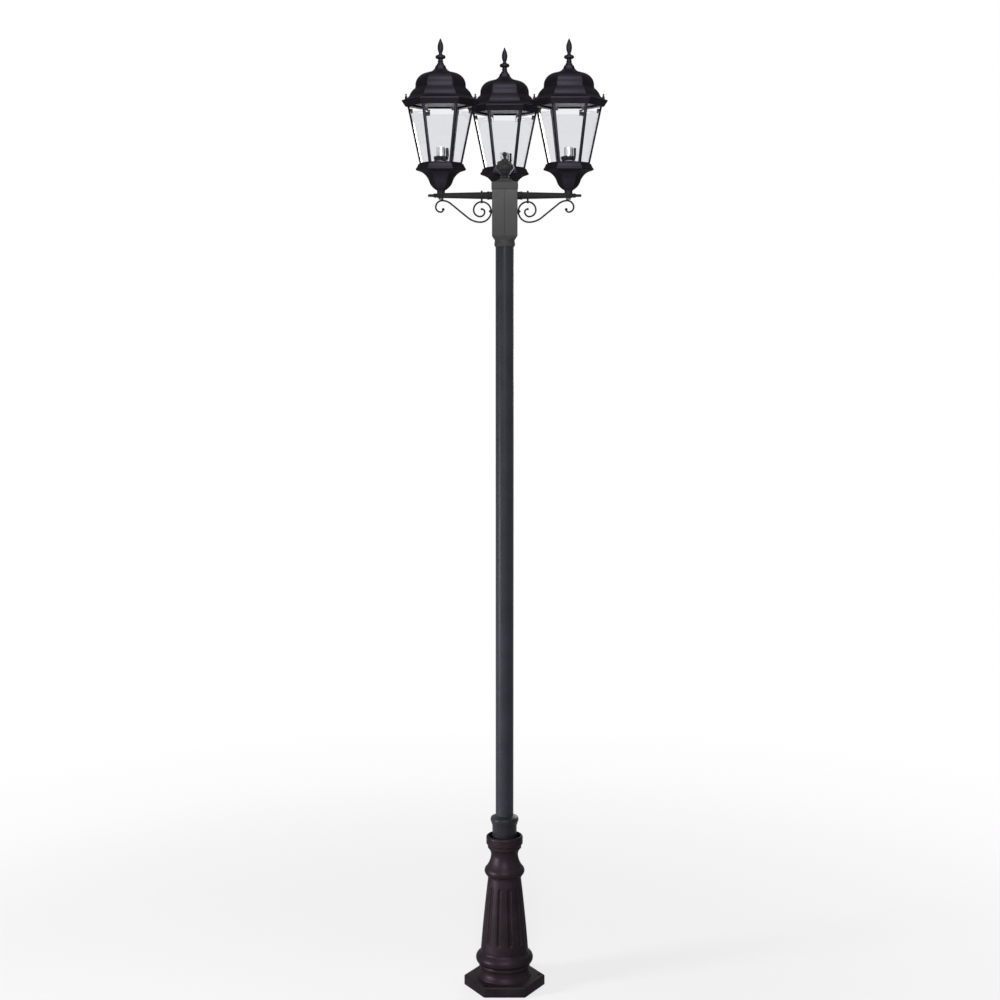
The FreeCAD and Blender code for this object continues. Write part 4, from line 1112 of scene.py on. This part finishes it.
def nipple_nuts():
    """One nut in the bowl and one under the arm."""
    nuts = []
    for low in (12.0, -25.5):
        nut = skin("nut", outline((0, low), (6.3, low), (6.8, low + 0.6), (6.8, low + 3.4),
                                  (6.3, low + 4), (0, low + 4), ease=0.1), sided_ring(6, 0, 0.3))
        nuts.append(worked(nut, cut=[rod("bore", 5.1, 6, (0, 0, low - 1), ease=0)]))
    return joined(nuts)


def cage():
    """Six tapering posts between a sill and a head ring."""
    return placed(from_frame("cage", "left_cage", 0.7), -seat("left"))


class LAMPPOST_OT_lanterns(bpy.types.Operator):
    """Lantern castings: bowls, cages, roofs, finials and what holds them"""
    bl_idname = "lamp_post.lanterns"
    bl_label = "Lantern Castings"

    def execute(self, context):
        s = settings("lantern")
        dark = painted("lantern paint", s.colour, 0.43, dust=0.02, specular=0.012, flake=0.6)
        knob = painted("knob paint", s.colour, 0.36, 1400, 0.00003, 0.1, specular=0.05)
        for_each_lantern(bowl, "bowl", dark, "post", 30)
        for_each_lantern(cage, "cage", dark, "post", 30)
        enamel = painted("roof lining enamel", s.lining, 0.5, 700, 0.00004, 0.05)
        for_each_lantern(roof, "roof", dark, "{}_roof_body", 30, enamel)
        for_each_lantern(finial, "finial", dark, "{}_finial_body", 34)
        for_each_lantern(roof_screws, "roof_screws", knob, "{}_roof_body", 34)
        for_each_lantern(nipple, "nipple", dark_steel(), "post", 40)
        for_each_lantern(nipple_nuts, "nipple_nuts", dark_steel(), "post", 30)
        return {"FINISHED"}


# ---- glazing ----------------------------------------------------------------
CAGE_FOOT, CAGE_HEAD = (65.6, 83.0), (103.9, 265.0)          # corner radius and height
CAGE_SPREAD = (CAGE_HEAD[0] - CAGE_FOOT[0]) / (CAGE_HEAD[1] - CAGE_FOOT[1])
TILT = math.atan(CAGE_SPREAD * COS30)


def behind(height, depth=0.0):
    """Centre-to-flat distance of the cage's inner faces, or of a plane further in."""
    corner = CAGE_FOOT[0] + CAGE_SPREAD * (height - CAGE_FOOT[1])
    return corner * COS30 - (3.5 + depth) / math.cos(TILT)


def on_pane(x, height, depth):
    """Place on the front pane: across, up its foot line, and in from its outer face."""
    return (x, depth * math.cos(TILT) - behind(height), height + depth * math.sin(TILT))


def pane(bevel):
    """One tapering pane, flat outside, with a wide bevelled border inside."""
    thick, edge, (low, high) = 2.5, 1.1, PANE_ENDS
    half_low, half_high = (behind(z, thick) / math.sqrt(3) - 0.5 for z in (low, high))
    slope = (half_high - half_low) / (high - low)
    rings = []
    for inset, depth in ((bevel, 0), (0.25, 0), (0, 0.25), (0, edge), (bevel, thick)):
        foot, head = low + inset, high - inset
        wide = [half_low + slope * (z - low) - inset for z in (foot, head)]
        rings.append([on_pane(-wide[0], foot, depth), on_pane(wide[0], foot, depth),
                      on_pane(wide[1], head, depth), on_pane(-wide[1], head, depth)])
    bm = bmesh.new()
    loops = [[bm.verts.new(Vector(p) * MM) for p in ring] for ring in rings]
    bm.faces.new(loops[0])
    bm.faces.new(loops[-1])
    for near, far in zip(loops, loops[1:]):
        for k in range(4):
            bm.faces.new((near[k - 1], near[k], far[k], far[k - 1]))
    bmesh.ops.recalc_face_normals(bm, faces=bm.faces)
    wide = (half_low + half_high) / 2
    # The border faces are marked for a second, lighter glass: a painted highlight for the light the
    # bevel refracts.
    return marked(from_bmesh("pane", bm),
                  lambda place, normal: abs(place.x) > 0.3 * wide
                  or abs(place.z - (low + high) / 2) > 0.3 * (high - low))


def clip_pair():
    """The two angle clips over the top corners of the front pane."""
    middle = behind(PANE_ENDS[1], 3.9) / math.sqrt(3) - 0.5 - 4.5
    shape = ((241.5, 0.05), (249, 0.05), (249, 3.9), (236, 3.9), (236, 2.55), (241.5, 2.55))
    clips = []
    for x in (middle, -middle):
        clip = extrude("clip", [on_pane(x - 4.5, *spot) for spot in shape], (9, 0, 0))
        clips.append(softened(clip, 0.25))
    return joined(clips)


class LAMPPOST_OT_glazing(bpy.types.Operator):
    """Panes of the lanterns and the clips that hold them"""
    bl_idname = "lamp_post.glazing"
    bl_label = "Glazing"

    def execute(self, context):
        s = settings("lantern")
        around = copies_round_axis()
        tinted = window_glass("pane glass", s.glass)
        # Painted highlight: the border's glass is tinted near-clear, lighter than the panes, for
        # the brightness its bevel gives.
        clear = window_glass("bevel glass painted bright", (0.98, 0.98, 0.985))
        for_each_lantern(lambda: through_tree(pane(s.bevel / MM), around, tinted, Count=6),
                         "panes", tinted, "post", 4, clear)
        for_each_lantern(lambda: through_tree(clip_pair(), around, dark_steel(), Count=6),
                         "pane_clips", dark_steel(), "post", 30)
        return {"FINISHED"}


# ---- lampholders ------------------------------------------------------------
def strap():
    """Strap across the bowl's rim, with its hole."""
    bar = slab("strap", (-53, -7, 83), (53, 7, 85), 0.4)
    return worked(bar, cut=[rod("hole", 5, 4, (0, 0, 82), ease=0)])


def holder():
    """Moulded holder with a grooved waist and the housing beside the shell."""
    return placed(from_frame("holder", "left_holder_body", 0.6), -seat("left"))


def shell():
    """Rolled screw shell, open upwards, with its centre contact."""
    foot, top = 106.0, 133.0
    pitch, depth = 3.6, 0.62
    outer = rows_up(14.0, foot + 0.3, top - 0.4, 0.45)
    inner = [(r - 0.38, z) for r, z in rows_up(14.0, foot + 1.5, top - 0.4, 0.45)][::-1]
    body = skin("shell", [(0, foot)] + outer + [(13.8, top)] + inner + [(0, foot + 1.5)],
                threaded_ring(72, pitch, depth))
    contact = lathe("contact", outline((0, foot + 1), (4.5, foot + 1), (4.5, foot + 2.2),
                                       domed(4.5, foot + 2.2, 1.2)), 32)
    return worked(body, add=[contact])


class LAMPPOST_OT_holders(bpy.types.Operator):
    """Lampholders on their straps, with screw shells"""
    bl_idname = "lamp_post.holders"
    bl_label = "Lampholders"

    def execute(self, context):
        s = settings("lantern")
        rods = bpy.data.materials["rod paint"]
        for_each_lantern(strap, "holder_strap", rods, "post", 30)
        black = moulded("black moulding", (0.004, 0.004, 0.005), 0.03)
        for_each_lantern(holder, "holder_body", black, "post", 30)
        for_each_lantern(shell, "lamp_shell", bare_metal("plated shell", s.shell, 0.38),
                         "post", 40)
        return {"FINISHED"}


# ---- stage ------------------------------------------------------------------
def floor_material(colour):
    """Pale floor that keeps the shadow near the post and runs into the white behind it."""
    material, tree, output, place = shader_tree("pale floor")
    matt = tree.nodes.new("ShaderNodeBsdfDiffuse")
    speckle = noise(tree, place, 6.0, 3.0)
    tint = mixed(tree, ranged(tree, speckle, 0.3, 0.7, 0, 1),
                 [c * 0.985 for c in colour], colour)
    tree.links.new(tint, matt.inputs["Color"])
    white = tree.nodes.new("ShaderNodeEmission")
    flat_place = tree.nodes.new("ShaderNodeVectorMath")
    flat_place.operation = "LENGTH"
    tree.links.new(place, flat_place.inputs[0])
    far = ranged(tree, flat_place.outputs["Value"], 0.6, 3.5, 0, 1)
    tree.links.new(mixed(tree, far, colour, (1.0, 1.0, 1.0)), white.inputs["Color"])
    share = ranged(tree, flat_place.outputs["Value"], 0.2, 2.5, 0.74, 1)
    blend = tree.nodes.new("ShaderNodeMixShader")
    tree.links.new(maths(tree, "MULTIPLY", share, seen_directly(tree)), blend.inputs[0])
    tree.links.new(matt.outputs[0], blend.inputs[1])
    tree.links.new(white.outputs[0], blend.inputs[2])
    tree.links.new(blend.outputs[0], output.inputs["Surface"])
    return material


def white_world(ambient):
    """White where it is seen, an even soft light everywhere else."""
    world = bpy.data.worlds.new("white surround")
    world.use_nodes = True
    tree = world.node_tree
    tree.nodes.clear()
    seen, soft = tree.nodes.new("ShaderNodeBackground"), tree.nodes.new("ShaderNodeBackground")
    soft.inputs["Strength"].default_value = ambient
    for node in (seen, soft):
        node.inputs["Color"].default_value = (1, 1, 1, 1)
    choose = tree.nodes.new("ShaderNodeMixShader")
    tree.links.new(seen_directly(tree), choose.inputs[0])
    tree.links.new(soft.outputs[0], choose.inputs[1])
    tree.links.new(seen.outputs[0], choose.inputs[2])
    output = tree.nodes.new("ShaderNodeOutputWorld")
    tree.links.new(choose.outputs[0], output.inputs["Surface"])
    bpy.context.scene.world = world


def softbox(name, power, size, place, target, spread=180):
    """Square area light aimed at a point, its beam narrowed to a spread in degrees."""
    light = bpy.data.lights.new(name, "AREA")
    light.energy, light.size, light.spread = power, size, math.radians(spread)
    obj = bpy.data.objects.new(name, light)
    obj.location = place
    obj.rotation_euler = (Vector(target) - Vector(place)).to_track_quat("-Z", "Y").to_euler()
    bpy.context.scene.collection.objects.link(obj)


class LAMPPOST_OT_stage(bpy.types.Operator):
    """Pale floor, soft light and the camera"""
    bl_idname = "lamp_post.stage"
    bl_label = "Stage"

    def execute(self, context):
        s = settings("stage")
        mesh = bpy.data.meshes.new("floor")
        reach = 60.0
        mesh.from_pydata([(-reach, -reach, 0), (reach, -reach, 0), (reach, reach, 0),
                          (-reach, reach, 0)], [], [(0, 1, 2, 3)])
        floor = new_object("floor", mesh)
        mesh.materials.append(floor_material(s.floor))
        white_world(s.ambient)
        softbox("key", s.key_power, 1.1, (-0.1, -4.8, 3.0), (0, 0, 1.6))
        softbox("low left", s.key_power * 0.16, 0.8, (-3.8, -1.5, 0.9), (0, 0, 0.7), 60)
        softbox("fill", s.key_power * 0.04, 2.0, (3.4, -3.0, 2.2), (0, 0, 1.4))
        softbox("top", s.key_power * 0.3, 1.2, (0, -2.0, 5.2), (0, 0, 2.8))
        softbox("back", s.key_power * 0.4, 2.0, (1.6, 4.6, 2.6), (0, 0, 1.5))

        camera = bpy.data.cameras.new("camera")
        camera.lens, camera.sensor_width = s.lens, 36.0
        camera.clip_end = 200.0
        view = bpy.data.objects.new("camera", camera)
        view.location = (-0.0146, -5.469, 2.210)
        view.rotation_euler = (math.radians(83.46), 0, 0)
        context.scene.collection.objects.link(view)
        context.scene.camera = view
        context.scene.view_settings.view_transform = "Standard"
        return {"FINISHED"}


# ---- add-on -----------------------------------------------------------------
STEPS = (LAMPPOST_OT_base, LAMPPOST_OT_pole, LAMPPOST_OT_hub, LAMPPOST_OT_arms,
         LAMPPOST_OT_lanterns, LAMPPOST_OT_glazing, LAMPPOST_OT_holders, LAMPPOST_OT_stage)


class LAMPPOST_PT_panel(bpy.types.Panel):
    """Sizes, paints and steps of the lamp post"""
    bl_idname = "LAMPPOST_PT_panel"
    bl_label = "Lamp Post"
    bl_space_type = "VIEW_3D"
    bl_region_type = "UI"
    bl_category = "Lamp Post"

    def draw(self, context):
        for group in SETTINGS:
            box = self.layout.box()
            box.label(text=group.capitalize())
            values = settings(group)
            for name in values.__annotations__:
                box.prop(values, name)
        for step in STEPS:
            self.layout.operator(step.bl_idname)


CLASSES = (*SETTINGS.values(), *STEPS, LAMPPOST_PT_panel)


def register():
    for cls in CLASSES:
        bpy.utils.register_class(cls)
    for group, cls in SETTINGS.items():
        setattr(bpy.types.Scene, "lamp_post_" + group, PointerProperty(type=cls))


def unregister():
    for group in SETTINGS:
        delattr(bpy.types.Scene, "lamp_post_" + group)
    for cls in reversed(CLASSES):
        bpy.utils.unregister_class(cls)


def main():
    """Build the post step by step."""
    register()
    for step in STEPS:
        getattr(bpy.ops.lamp_post, step.bl_idname.partition(".")[2])()


if __name__ == "__main__":
    main()
